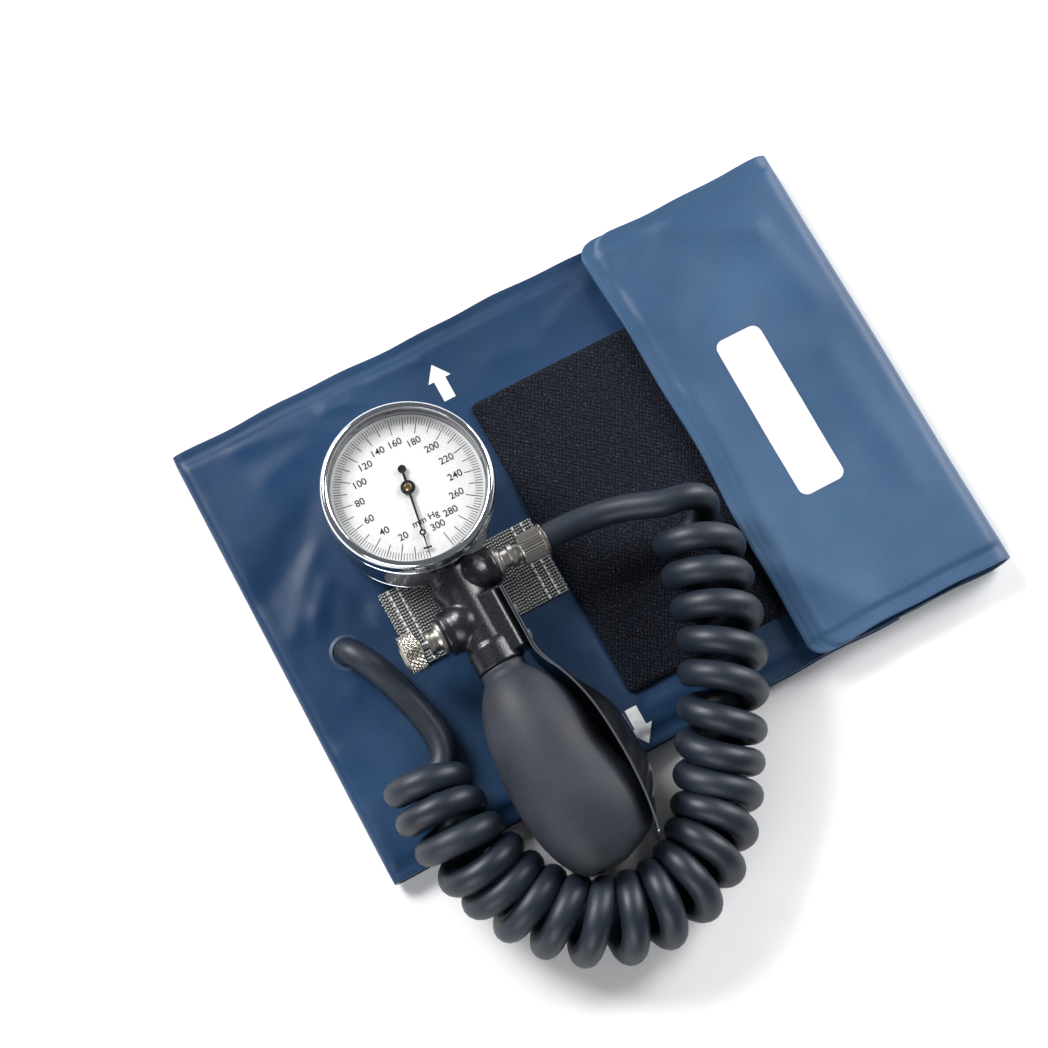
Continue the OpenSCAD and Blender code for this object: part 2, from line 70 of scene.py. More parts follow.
def fall(v, a, b):
    """1 up to a, 0 past b and smooth between."""
    return 1 - ramp(v, a, b)


def bump(v, middle, width):
    return math.exp(-(((v - middle) / width) ** 2))


def catmull(points, steps=12):
    """Points on one smooth curve through the given points."""
    p = [Vector(q) for q in points]
    p = [2 * p[0] - p[1]] + p + [2 * p[-1] - p[-2]]
    out = []
    for i in range(1, len(p) - 2):
        a, b, c, d = p[i - 1 : i + 3]
        for k in range(steps):
            t = k / steps
            square = 2 * a - 5 * b + 4 * c - d
            cube = 3 * b - a - 3 * c + d
            out.append(0.5 * (2 * b + (c - a) * t + square * t * t + cube * t**3))
    out.append(p[-2])
    return out


def spaced(points, step):
    """The same line with its points an even distance apart."""
    travel = [0.0]
    for a, b in zip(points, points[1:]):
        travel.append(travel[-1] + (b - a).length)
    n = max(2, round(travel[-1] / step))
    out, j = [], 0
    for i in range(n + 1):
        want = travel[-1] * i / n
        while j < len(travel) - 2 and travel[j + 1] < want:
            j += 1
        part = (want - travel[j]) / max(1e-9, travel[j + 1] - travel[j])
        out.append(points[j].lerp(points[j + 1], min(1.0, part)))
    return out


def line_length(points):
    return sum((b - a).length for a, b in zip(points, points[1:]))


def corner_inset(d, r):
    """How far a rounded corner of radius r draws the side in, at distance d from the end."""
    d = min(d, r)
    return r - math.sqrt(max(0.0, r * r - (r - d) ** 2))


# ---------------------------------------------------------------- mesh makers


def make(name, verts, faces, mat, uvs=None, sharp=35):
    """A mesh object from millimetre points. uvs holds one pair of millimetres per point."""
    mesh = bpy.data.meshes.new(name)
    mesh.from_pydata([Vector(v) * MM for v in verts], [], faces)
    if uvs:
        layer = mesh.uv_layers.new(name="cloth")
        for loop in mesh.loops:
            u, v = uvs[loop.vertex_index]
            layer.data[loop.index].uv = (u * MM, v * MM)
    bm = bmesh.new()
    bm.from_mesh(mesh)
    bmesh.ops.recalc_face_normals(bm, faces=bm.faces)
    bm.to_mesh(mesh)
    bm.free()
    mesh.polygons.foreach_set("use_smooth", [True] * len(mesh.polygons))
    mesh.set_sharp_from_angle(angle=math.radians(sharp))
    for m in mat if isinstance(mat, (list, tuple)) else [mat]:
        mesh.materials.append(m)
    obj = bpy.data.objects.new(name, mesh)
    scene.collection.objects.link(obj)
    return obj


def place(obj, body, slot, *nodes):
    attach(obj, body)
    if nodes:
        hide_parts(*nodes)
    return obj


def turned(name, profile, origin, axis, mat, sides=96, shape=None, sharp=35):
    """A turned part. profile is (along, radius) pairs; shape(along, radius, angle) may change a radius."""
    axis = Vector(axis)
    side = axis.orthogonal().normalized()
    other = axis.cross(side)
    origin = Vector(origin)
    verts, faces, rows = [], [], []
    for along, radius in profile:
        if radius < 1e-6:
            rows.append([len(verts)])
            verts.append(origin + axis * along)
            continue
        row = []
        for k in range(sides):
            a = TAU * k / sides
            r = shape(along, radius, a) if shape else radius
            row.append(len(verts))
            verts.append(origin + axis * along + r * (math.cos(a) * side + math.sin(a) * other))
        rows.append(row)
    for a, b in zip(rows, rows[1:]):
        for k in range(sides):
            n = (k + 1) % sides
            if len(a) == 1:
                faces.append((a[0], b[k], b[n]))
            elif len(b) == 1:
                faces.append((a[k], b[0], a[n]))
            else:
                faces.append((a[k], b[k], b[n], a[n]))
    return make(name, verts, faces, mat, sharp=sharp)


def ring_points(centre, side, other, radius, sides):
    """Points round a circle in the plane of side and other."""
    angles = [TAU * k / sides for k in range(sides)]
    return [centre + radius * (math.cos(a) * side + math.sin(a) * other) for a in angles]


def tube_rings(path, radius, sides):
    """Rings round a path, without twist."""
    rings = []
    last = len(path) - 1
    normal = Vector((0, 0, 1))
    for i, p in enumerate(path):
        t = (path[min(i + 1, last)] - path[max(i - 1, 0)]).normalized()
        normal = (normal - t * normal.dot(t)).normalized()
        rings.append(ring_points(p, normal, t.cross(normal), radius, sides))
    return rings


def skin(rings):
    """Points and faces of a closed surface through rings of equal count."""
    m = len(rings[0])
    verts = [v for r in rings for v in r]
    faces = []
    for i in range(len(rings) - 1):
        for k in range(m):
            n = (k + 1) % m
            faces.append((i * m + k, i * m + n, (i + 1) * m + n, (i + 1) * m + k))
    faces.append(tuple(range(m)))
    faces.append(tuple((len(rings) - 1) * m + k for k in range(m)))
    return verts, faces


def slab(name, rows, thick, mat):
    """A closed sheet. rows is a grid of (point, direction to its underside, (u, v)) entries."""
    ny, nx = len(rows), len(rows[0])
    top = [Vector(e[0]) for r in rows for e in r]
    low = [Vector(e[0]) + Vector(e[1]) * thick for r in rows for e in r]
    uv = [e[2] for r in rows for e in r]
    n = len(top)
    faces = []
    for j in range(ny - 1):
        for i in range(nx - 1):
            a = j * nx + i
            faces.append((a, a + 1, a + nx + 1, a + nx))
            faces.append((n + a, n + a + nx, n + a + nx + 1, n + a + 1))
    border = (
        list(range(nx))
        + [j * nx + nx - 1 for j in range(1, ny)]
        + [(ny - 1) * nx + i for i in range(nx - 2, -1, -1)]
        + [j * nx for j in range(ny - 2, 0, -1)]
    )
    for a, b in zip(border, border[1:] + border[:1]):
        faces.append((a, n + a, n + b, b))
    return make(name, top + low, faces, mat, uvs=uv + uv, sharp=60)


def rounded_rows(x0, x1, y0, y1, r, nx, ny):
    """Scan lines over a rectangle with rounded corners: rows of (x, y)."""
    corner_lines = 5
    ys = [y0 + r * (1 - math.cos(math.pi / 2 * k / corner_lines)) for k in range(corner_lines)]
    ys += [y0 + r + (y1 - y0 - 2 * r) * k / ny for k in range(ny + 1)]
    ys += [y1 - (y - y0) for y in reversed(ys[:corner_lines])]
    out = []
    for y in ys:
        inset = corner_inset(min(y - y0, y1 - y), r)
        out.append([(x0 + inset + (x1 - x0 - 2 * inset) * i / nx, y) for i in range(nx + 1)])
    return out


# ---------------------------------------------------------------- materials


class Paint:
    """A node material round one Principled shader."""

    def __init__(self, name, rough=0.5, metal=0.0, coords="Object", **sockets):
        self.mat = bpy.data.materials.new(name)
        self.mat.use_nodes = True
        self.tree = self.mat.node_tree
        self.shader = self.tree.nodes["Principled BSDF"]
        self.shader.inputs["Roughness"].default_value = rough
        self.shader.inputs["Metallic"].default_value = metal
        for k, v in sockets.items():
            self.shader.inputs[k.replace("_", " ")].default_value = v
        self.coords = self.tree.nodes.new("ShaderNodeTexCoord").outputs[coords]
        self.normal = None

    def node(self, kind, **values):
        n = self.tree.nodes.new("ShaderNode" + kind)
        for k, v in values.items():
            setattr(n, k, v)
        return n

    def link(self, a, b):
        self.tree.links.new(a, b)

    def noise(self, scale, detail=3.0, rough=0.55, stretch=None):
        n = self.node("TexNoise")
        for k, v in (("Scale", scale), ("Detail", detail), ("Roughness", rough)):
            n.inputs[k].default_value = v
        self.link(self.mapped(stretch), n.inputs["Vector"])
        return n.outputs["Fac"]

    def mapped(self, stretch=None, turn=0.0):
        if not stretch and not turn:
            return self.coords
        m = self.node("Mapping")
        if stretch:
            m.inputs["Scale"].default_value = stretch
        m.inputs["Rotation"].default_value = (0, 0, turn)
        self.link(self.coords, m.inputs["Vector"])
        return m.outputs["Vector"]

    def cells(self, scale, stretch=None, turn=0.0, random_place=1.0):
        n = self.node("TexVoronoi", feature="F1")
        n.inputs["Scale"].default_value = scale
        n.inputs["Randomness"].default_value = random_place
        self.link(self.mapped(stretch, turn), n.inputs["Vector"])
        return n.outputs["Distance"]

    def waves(self, scale, direction):
        n = self.node("TexWave", bands_direction=direction)
        n.inputs["Scale"].default_value = scale
        self.link(self.coords, n.inputs["Vector"])
        return n.outputs["Fac"]

    def maths(self, operation, a, b):
        n = self.node("Math", operation=operation)
        for socket, v in zip(n.inputs, (a, b)):
            if isinstance(v, (int, float)):
                socket.default_value = v
            else:
                self.link(v, socket)
        return n.outputs[0]

    def mixed(self, a, share_a, b, share_b):
        """The weighted sum of two patterns."""
        return self.maths("ADD", self.maths("MULTIPLY", a, share_a), self.maths("MULTIPLY", b, share_b))

    def spread(self, fac, low, high, to_low=0.0, to_high=1.0):
        n = self.node("MapRange")
        self.link(fac, n.inputs["Value"])
        for k, v in (("From Min", low), ("From Max", high), ("To Min", to_low), ("To Max", to_high)):
            n.inputs[k].default_value = v
        return n.outputs["Result"]

    def colour(self, fac, stops):
        n = self.node("ValToRGB")
        ramp_stops = n.color_ramp.elements
        while len(ramp_stops) < len(stops):
            ramp_stops.new(0.5)
        for e, (place_at, rgb) in zip(ramp_stops, stops):
            e.position = place_at
            e.color = (*rgb, 1)
        self.link(fac, n.inputs["Fac"])
        self.link(n.outputs["Color"], self.shader.inputs["Base Color"])
        return self

    def roughness(self, fac, low, high):
        self.link(self.spread(fac, 0.3, 0.7, low, high), self.shader.inputs["Roughness"])
        return self

    def relief(self, height, depth_mm, strength=1.0):
        n = self.node("Bump")
        n.inputs["Distance"].default_value = depth_mm * MM
        n.inputs["Strength"].default_value = strength
        self.link(height, n.inputs["Height"])
        if self.normal is not None:
            self.link(self.normal, n.inputs["Normal"])
        self.normal = n.outputs["Normal"]
        return self

    def done(self):
        if self.normal is not None:
            self.link(self.normal, self.shader.inputs["Normal"])
        return self.mat


def cuff_fabric(name, dark, mid, light):
    p = Paint(name, rough=0.36, coords="UV")
    p.shader.inputs["Specular IOR Level"].default_value = 0.30
    broad = p.noise(14, detail=2.0)
    fine = p.noise(900, detail=2.0)
    p.colour(p.mixed(broad, 0.8, fine, 0.2), [(0.3, dark), (0.5, mid), (0.72, light)])
    p.roughness(p.noise(60, detail=4.0), 0.29, 0.42)
    weave = p.maths("ADD", p.waves(1100, "X"), p.waves(1100, "Y"))
    p.relief(p.noise(35, detail=2.0), 0.8, 0.6)
    p.relief(weave, 0.03, 0.5)
    p.relief(p.noise(420, detail=4.0), 0.05, 0.4)
    return p.done()


def soft_rubber(name, dark, light, low=0.5, high=0.66, speckle=1400, depth=0.05, coords="Object"):
    p = Paint(name, coords=coords)
    p.shader.inputs["Specular IOR Level"].default_value = 0.45
    grain = p.noise(speckle, detail=5.0, rough=0.7)
    cloud = p.noise(50, detail=3.0)
    p.colour(p.mixed(grain, 0.55, cloud, 0.45), [(0.36, dark), (0.64, light)])
    p.roughness(cloud, low, high)
    p.relief(grain, depth, 0.5)
    return p.done()


def metal(name, dark, light, low, high, depth=0.01):
    """Metal with faint scratches across X."""
    p = Paint(name, metal=1.0)
    smear = p.noise(20, detail=4.0, stretch=(3, 1, 1))
    line = p.noise(1.0, detail=3.0, stretch=(40, 900, 900))
    p.colour(smear, [(0.3, dark), (0.7, light)])
    p.roughness(smear, low, high)
    p.relief(line, depth, 0.08)
    return p.done()


def cast_paint(name):
    depth = 0.045
    p = Paint(name)
    p.shader.inputs["Specular IOR Level"].default_value = 0.6
    grain = p.noise(2400, detail=3.0, rough=0.6)
    coarse = p.cells(1900)
    p.colour(grain, [(0.4, (0.0035, 0.004, 0.006)), (0.68, (0.012, 0.014, 0.019))])
    p.roughness(grain, 0.25, 0.36)
    p.relief(grain, depth, 0.9)
    p.relief(coarse, depth * 0.9, 0.7)
    return p.done()


def plain_plastic(name, dark, light, rough=0.35, scale=300, depth=0.02):
    p = Paint(name)
    grain = p.noise(scale, detail=4.0)
    p.colour(grain, [(0.35, dark), (0.65, light)])
    p.roughness(grain, rough, rough + 0.14)
    p.relief(grain, depth, 0.4)
    return p.done()


def pile(name, dark, light, glint_colour, scale):
    """Hook or loop tape: a dense field of tiny loops in slanting rows, with painted highlight flecks."""
    p = Paint(name, coords="UV")
    p.shader.inputs["Specular IOR Level"].default_value = 0.13
    loops = p.cells(scale, stretch=(1, 0.8, 1), turn=0.6, random_place=0.3)
    fuzz = p.noise(scale * 3, detail=5.0, rough=0.8)
    p.colour(p.mixed(loops, 0.75, fuzz, 0.5), [(0.42, light), (0.6, dark), (0.8, dark)])
    # Painted highlight: a lighter colour mixed in where a noise peaks, standing in for glints off the pile.
    glint = p.spread(p.noise(scale * 1.7, detail=2.0), 0.62, 0.75)
    mix = p.node("Mix", data_type="RGBA")
    p.link(glint, mix.inputs["Factor"])
    base = p.shader.inputs["Base Color"]
    p.link(base.links[0].from_socket, mix.inputs["A"])
    mix.inputs["B"].default_value = (*glint_colour, 1)
    p.link(mix.outputs["Result"], base)
    p.roughness(fuzz, 0.55, 0.85)
    p.relief(p.maths("SUBTRACT", 1.0, loops), 0.5, 0.8)
    p.relief(fuzz, 0.25, 0.7)
    return p.done()


def webbing_material():
    p = Paint("webbing_yarn")
    p.shader.inputs["Specular IOR Level"].default_value = 0.6
    # The colour follows the thread height: the fibre noise gives the real mix of black and white yarn, while
    # the black in the low gaps between threads is painted shade and the lighter crowns are painted light.
    height = p.node("Attribute", attribute_name="thread")
    fibre = p.noise(2500, detail=4.0, rough=0.8)
    both = p.mixed(height.outputs["Fac"], 0.75, fibre, 0.35)
    p.colour(both, [(0.30, (0.004, 0.004, 0.005)), (0.55, (0.07, 0.07, 0.075)), (0.92, (0.86, 0.85, 0.82))])
    p.roughness(fibre, 0.4, 0.6)
    p.relief(fibre, 0.08, 0.6)
    return p.done()


PANEL_NAVY = [(0.006, 0.025, 0.066), (0.009, 0.035, 0.090), (0.017, 0.052, 0.118)]
# Painted light: the flap is the same navy cloth as the panel, given a lighter copy of its colour to stand in
# for the brighter sheen it catches.
FLAP_NAVY_PAINTED_LIGHTER = [(0.021, 0.055, 0.118), (0.032, 0.075, 0.150), (0.050, 0.103, 0.188)]
M = {
    "fabric": cuff_fabric("cuff_fabric", *PANEL_NAVY),
    "flap": cuff_fabric("flap_fabric_painted_lighter", *FLAP_NAVY_PAINTED_LIGHTER),
    "loop": pile("loop_pile", (0.0010, 0.0014, 0.004), (0.010, 0.013, 0.026), (0.09, 0.10, 0.14), 950),
    "hook": pile("hook_tape", (0.004, 0.004, 0.006), (0.02, 0.02, 0.026), (0.08, 0.08, 0.09), 800),
    "webbing": webbing_material(),
    "hose": soft_rubber(
        "hose_rubber", (0.005, 0.009, 0.017), (0.012, 0.019, 0.032), 0.42, 0.52, 900, 0.03, "UV"
    ),
    "bulb": soft_rubber("bulb_rubber", (0.007, 0.009, 0.015), (0.029, 0.034, 0.049), 0.54, 0.68, 2300, 0.13),
    "valve_rubber": soft_rubber("valve_rubber", (0.25, 0.03, 0.02), (0.38, 0.05, 0.04)),
    "seal": soft_rubber("black_rubber_seal", (0.005, 0.005, 0.006), (0.014, 0.014, 0.016), 0.4, 0.55),
    "gasket": soft_rubber("grey_gasket_and_lip_shade", (0.22, 0.225, 0.235), (0.34, 0.345, 0.355), 0.4, 0.55),
    "port": plain_plastic("port_plastic", (0.008, 0.026, 0.066), (0.013, 0.038, 0.090), 0.42),
    "elbow": plain_plastic("port_black_plastic", (0.012, 0.013, 0.016), (0.03, 0.032, 0.036), 0.35),
    "cast": cast_paint("die_cast_black"),
    "chrome": metal("chrome", (0.66, 0.68, 0.72), (0.74, 0.76, 0.80), 0.08, 0.13, depth=0.001),
    "nickel": metal("nickel", (0.46, 0.43, 0.38), (0.62, 0.59, 0.53), 0.24, 0.36, depth=0.001),
    "case": metal("gauge_case_metal", (0.30, 0.32, 0.36), (0.42, 0.44, 0.49), 0.12, 0.20, depth=0.001),
    "brass": metal("brass", (0.60, 0.42, 0.16), (0.78, 0.58, 0.26), 0.18, 0.32),
    "steel": metal("steel", (0.5, 0.51, 0.53), (0.66, 0.67, 0.69), 0.2, 0.32),
    "spoon": plain_plastic("spoon_black", (0.004, 0.0045, 0.006), (0.014, 0.015, 0.019), 0.13, 60, 0.01),
    "pointer": plain_plastic("pointer_black", (0.003, 0.003, 0.003), (0.01, 0.01, 0.011), 0.3),
    "dial": plain_plastic("dial_white", (0.80, 0.80, 0.79), (0.86, 0.86, 0.85), 0.35, 900, 0.01),
    "ink": plain_plastic("dial_ink", (0.004, 0.004, 0.005), (0.014, 0.014, 0.016), 0.4),
    "label": plain_plastic("white_label", (0.61, 0.63, 0.66), (0.68, 0.70, 0.72), 0.45, 500, 0.02),
    "print": plain_plastic("white_print", (0.72, 0.74, 0.76), (0.86, 0.87, 0.88), 0.45, 500, 0.02),
}


def lens_material():
    p = Paint("lens_glass", rough=0.02, Alpha=0.06)
    p.shader.inputs["IOR"].default_value = 1.5
    p.colour(p.noise(30), [(0.3, (0.04, 0.045, 0.05)), (0.7, (0.06, 0.065, 0.07))])
    p.relief(p.noise(12, detail=1.0), 0.02, 0.1)
    return p.done()


M["lens"] = lens_material()

# ---------------------------------------------------------------- camera, lights, floor

look_at = Vector((-0.0198, 0.020, 0.0))
azimuth, elevation, distance = math.radians(-28.2), math.radians(74), 0.800
back = Vector(
    (math.sin(azimuth) * math.cos(elevation), -math.cos(azimuth) * math.cos(elevation), math.sin(elevation))
)
camera_data = bpy.data.cameras.new("camera")
camera_data.sensor_width = 36
camera_data.lens = 85.88
camera_data.clip_start = 0.05
camera = bpy.data.objects.new("camera", camera_data)
camera.location = look_at + back * distance
camera.rotation_euler = back.to_track_quat("Z", "Y").to_euler()
scene.collection.objects.link(camera)
scene.camera = camera


def hang(name, data, toward):
    """A light that shines from the side that toward points at."""
    obj = bpy.data.objects.new(name, data)
    obj.rotation_euler = Vector(toward).to_track_quat("Z", "Y").to_euler()
    scene.collection.objects.link(obj)
    return obj


def area_light(name, place_at, target, size, power):
    data = bpy.data.lights.new(name, "AREA")
    data.shape = "RECTANGLE"
    data.size, data.size_y = size
    data.energy = power
    hang(name, data, Vector(place_at) - Vector(target)).location = place_at


def sun_light(name, toward, strength, spread):
    """An even light that reaches the far floor as well."""
    data = bpy.data.lights.new(name, "SUN")
    data.energy = strength
    data.angle = math.radians(spread)
    hang(name, data, toward)


sun_light("even_sun", (-0.5, 0.95, 0.75), 2.0, 25)
area_light("key_softbox", (-0.50, 0.95, 0.85), (0, 0, 0), (0.75, 0.42), 13)
area_light("right_softbox", (0.88, 0.16, 0.62), (0.08, 0.02, 0), (0.34, 0.8), 9)
area_light("low_right_strip", (0.95, 0.25, 0.38), (0, -0.03, 0.02), (0.7, 0.3), 4.5)
area_light("front_fill", (-0.75, -0.65, 0.55), (0, 0, 0), (0.8, 0.5), 6)

world = bpy.data.worlds.new("studio")
world.use_nodes = True
world.node_tree.nodes["Background"].inputs["Color"].default_value = (0.86, 0.92, 1.0, 1)
world.node_tree.nodes["Background"].inputs["Strength"].default_value = 0.17
scene.world = world
scene.view_settings.view_transform = "Standard"

floor_paint = Paint("studio_floor", rough=0.7)
floor_paint.colour(floor_paint.noise(2.0), [(0.3, (0.90, 0.90, 0.905)), (0.7, (0.93, 0.93, 0.93))])
FLOOR_HALF, FLOOR_Z = 3000, -0.3
corners = [(a * FLOOR_HALF, b * FLOOR_HALF, FLOOR_Z) for a, b in ((-1, -1), (1, -1), (1, 1), (-1, 1))]
floor = make("studio_floor", corners, [(0, 1, 2, 3)], floor_paint.done())

# ---------------------------------------------------------------- the hose

HOSE_D = 8.6
HOSE_ROUND = 27.0
HOSE_SIDES = 16
HOSE_STEP = 1.5
COIL_D = 28.3
COIL_R = (COIL_D - HOSE_D) / 2
COIL_TURNS = 21.4
POINTS_PER_TURN = 14
coil_route = [
    (22.6, -2.5, 22.5), (23.2, -9, 22.5), (22, -17, 22.5), (19.5, -26, 22.6), (17, -36, 22.6),
    (13.5, -46, 22.6), (9, -55, 21.9), (4.5, -63, 21.5), (-1, -72, 19.3), (-6, -80, 16.4), (-11, -88, 14.5),
    (-17.5, -96, 14.3), (-25.5, -102.5, 14.3), (-35, -106.8, 14.3), (-46, -107.8, 14.3),
    (-57, -105.6, 14.3), (-66, -100.2, 14.3), (-73.5, -92.8, 14.4), (-79, -84.4, 15.4), (-83, -74.5, 18.2),
    (-86, -64, 21.4), (-87.5, -52, 21.4), (-87.5, -41, 21.2),
]
lead_gauge = [
    (-19.6, 6.8, 24), (-14, 6.9, 23.8), (-7, 6.5, 23.5), (0, 5.4, 23.8), (7, 3.2, 25.4), (13, 0.3, 27.4),
    (18, -1.8, 28.5),
]
lead_cuff = [
    (-88.9, -41.2, 12.5), (-84.4, -41.5, 11.9), (-80.2, -39.6, 11.6), (-77.6, -35.4, 11.3),
    (-76.9, -29.5, 11.1), (-78.0, -21.5, 11.1), (-80.0, -13.5, 11.1), (-82.6, -5.5, 11.4),
    (-84.9, -0.2, 11.9), (-87.2, 4.2, 11.3), (-88.6, 6.8, 9.6), (-89.0, 7.8, 7.4),
]


def helix_points():
    """The coil's turns along its route, closer together where the route is straight."""
    look, window = 8, 12
    line = spaced(catmull(coil_route), 0.5)
    n = len(line)
    step = line_length(line) / (n - 1)
    heads = [(line[min(i + look, n - 1)] - line[max(i - look, 0)]).normalized() for i in range(n)]
    density = []
    for i in range(n):
        a, b = heads[max(i - window, 0)], heads[min(i + window, n - 1)]
        curve = a.angle(b) / (2 * window * step)
        opened = 0.82 + 0.18 * ramp(i * step, 60, 100) - 0.2 * fall(i * step, 6, 16)
        density.append(opened / (1 + 0.85 * COIL_R * curve))
    total = [0.0]
    for d in density[1:]:
        total.append(total[-1] + d)
    turn_at = [TAU * COIL_TURNS * t / total[-1] for t in total]
    out, j = [], 0
    last = round(COIL_TURNS * POINTS_PER_TURN)
    for i in range(last + 1):
        phi = turn_at[-1] * i / last
        while j < n - 2 and turn_at[j + 1] < phi:
            j += 1
        part = min(1.0, (phi - turn_at[j]) / max(1e-9, turn_at[j + 1] - turn_at[j]))
        centre = line[j].lerp(line[j + 1], part)
        head = heads[j]
        up = (Vector((0, 0, 1)) - head * head.z).normalized()
        left = up.cross(head)
        radius = COIL_R * (0.62 + 0.38 * ramp(phi, 0, 1.3 * math.pi))
        radius *= 1 - 0.12 * ramp(phi, turn_at[-1] - math.pi, turn_at[-1])
        out.append(centre + radius * (math.cos(phi) * up + math.sin(phi) * left))
    return out


hose_points = [Vector(p) for p in lead_gauge] + helix_points() + [Vector(p) for p in lead_cuff]
hose_path = spaced(catmull(hose_points, 8), HOSE_STEP)


def hose_mesh():
    rings = tube_rings(hose_path, HOSE_D / 2, HOSE_SIDES)
    verts, faces = skin(rings)
    around = [HOSE_ROUND * min(k, HOSE_SIDES - k) / HOSE_SIDES for k in range(HOSE_SIDES)]
    uvs = [(HOSE_STEP * i, v) for i in range(len(rings)) for v in around]
    return make("hose_tube", verts, faces, M["hose"], uvs=uvs, sharp=80)


hose = hose_mesh()
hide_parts("hose_coil", "hose_lead_cuff", "hose_lead_gauge")
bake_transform(hose)

# ---------------------------------------------------------------- the sleeve

CUFF_LOW, CUFF_HIGH = -64.0, 92.0
CUFF_MIDDLE = (CUFF_LOW + CUFF_HIGH) / 2
CUFF_LEFT = -109.5
BACK_END = 70.0
FABRIC = 2.0
PORT_X, PORT_Y = -89.0, 7.6
PANEL_RIGHT = 95.0
PANEL_TOP, PANEL_Z = 6.6, 3.0
FLAP_TOP, FLAP_LEFT, FOLD_X, FOLD_R = 11.7, 38.5, 103.65, 5.85
WELD = 4.6

# Soft creases: start, end, half width and height, in millimetres
panel_creases = [
    ((-85, 31), (-92, 23), 2.6, 0.8), ((-92, 23), (-96, 9), 2.4, 0.9), ((-96, 9), (-93, -4), 2.6, 0.6),
    ((-78, 20), (-84, 6), 3.4, -0.7), ((-27, -13), (-22, -28), 2.4, 0.8), ((-22, -28), (-20, -54), 2.6, 0.7),
    ((-104, 35), (-88, 46), 5.0, -0.6), ((-88, 46), (-74, 60), 5.0, -0.6), ((-101, 20), (-84, 42), 3.0, 0.6),
    ((-59, 82), (-50, 80), 2.0, 0.9), ((-90, 84), (-66, 80), 3.0, 0.5), ((-40, 84), (-23, 83), 2.2, 0.4),
    ((-62, 76), (-86, 70), 4.0, 0.5), ((20, 74), (36, 80), 3.0, 0.5), ((-5, 72), (14, 70), 3.5, 0.4),
    ((-104, -20), (-96, -44), 3.0, 0.5), ((-98, -50), (-70, -58), 3.0, 0.4), ((-12, -52), (28, -56), 2.4, 0.5),
]
flap_creases = [
    ((44, 60), (60, 50), 7.0, 0.7), ((60, 50), (74, 62), 6.0, -0.6), ((66, 84), (92, 70), 5.0, 0.6),
    ((92, 70), (98, 40), 4.5, 0.8), ((46, 74), (62, 86), 5.0, -0.5), ((52, 44), (72, 36), 8.0, 0.5),
    ((46, 30), (44, -30), 5.0, 0.5), ((92, 20), (94, -28), 5.0, 0.6), ((48, -40), (60, -56), 5.0, 0.5),
    ((70, -48), (92, -44), 6.0, -0.4), ((43, -34), (42, -58), 2.5, 0.5), ((62, 6), (84, -10), 9.0, -0.4),
]


def crease_height(creases, x, y):
    total = 0.0
    for (ax, ay), (bx, by), width, height in creases:
        dx, dy = bx - ax, by - ay
        t = min(1.0, max(0.0, ((x - ax) * dx + (y - ay) * dy) / (dx * dx + dy * dy)))
        d = math.hypot(x - ax - t * dx, y - ay - t * dy)
        total += height * math.exp(-((d / width) ** 2))
    return total


def welded(d, drop):
    """Height change at distance d inside an edge: a thin welded band, then a groove."""
    return -drop * fall(d, 0.6 * WELD, 1.6 * WELD) - 0.3 * bump(d, WELD, 0.7) + 0.15 * bump(d, 0.8, 0.8)


def weld_thin(d, loss):
    """The share of its thickness that a sheet keeps at distance d inside a welded edge."""
    return 1 - loss * fall(d, 0.3 * WELD, 1.4 * WELD)


def cross_lines(count, even):
    """The Y of each scan line over the cuff's width, closer together near both edges."""
    out = []
    for j in range(count + 1):
        a = math.pi * (even + (1 - 2 * even) * (j / count))
        out.append(CUFF_LOW + (CUFF_HIGH - CUFF_LOW) * (0.5 - 0.5 * math.cos(a) / math.cos(math.pi * even)))
    return out


def edge_wave(x):
    return 0.35 * math.sin(x * 0.09 + 1.0) + 0.2 * math.sin(x * 0.23)


def panel_height(x, y):
    """How far the main panel's face stands above or below its flat level."""
    d = min(y - CUFF_LOW, CUFF_HIGH - y)
    z = welded(d, 1.2)
    z += max(-0.65, crease_height(panel_creases, x, y)) * ramp(math.hypot(x - PORT_X, y - PORT_Y), 8, 14)
    z += 0.15 * math.sin(x * 0.11) * math.sin(y * 0.13 + 0.6)
    left = x - CUFF_LEFT
    z += -0.22 * bump(left, 6.0, 0.6) + 0.15 * bump(left, 4.0, 1.5)
    return min(z, 1.3)


def near_unit(x, y):
    """1 where the hand unit or the coil lies close above the panel, so nothing swells into it."""
    gauge = fall(math.hypot(x - UNIT_X, y - GAUGE_Y), 25, 34)
    casting_side = ramp(x, -73, -65) * fall(x, -26, -18) * fall(y, 24, 34)
    right_coil = ramp(x, -6, 2) * fall(x, 40, 46) * fall(y, 8, 14)
    left_coil = fall(x, -74, -68) * fall(y, -30, -24)
    return max(gauge, casting_side, right_coil, left_coil)


def panel_top(x, y):
    h = panel_height(x, y)
    return PANEL_TOP + (h - max(0.0, h - 0.15) * near_unit(x, y))


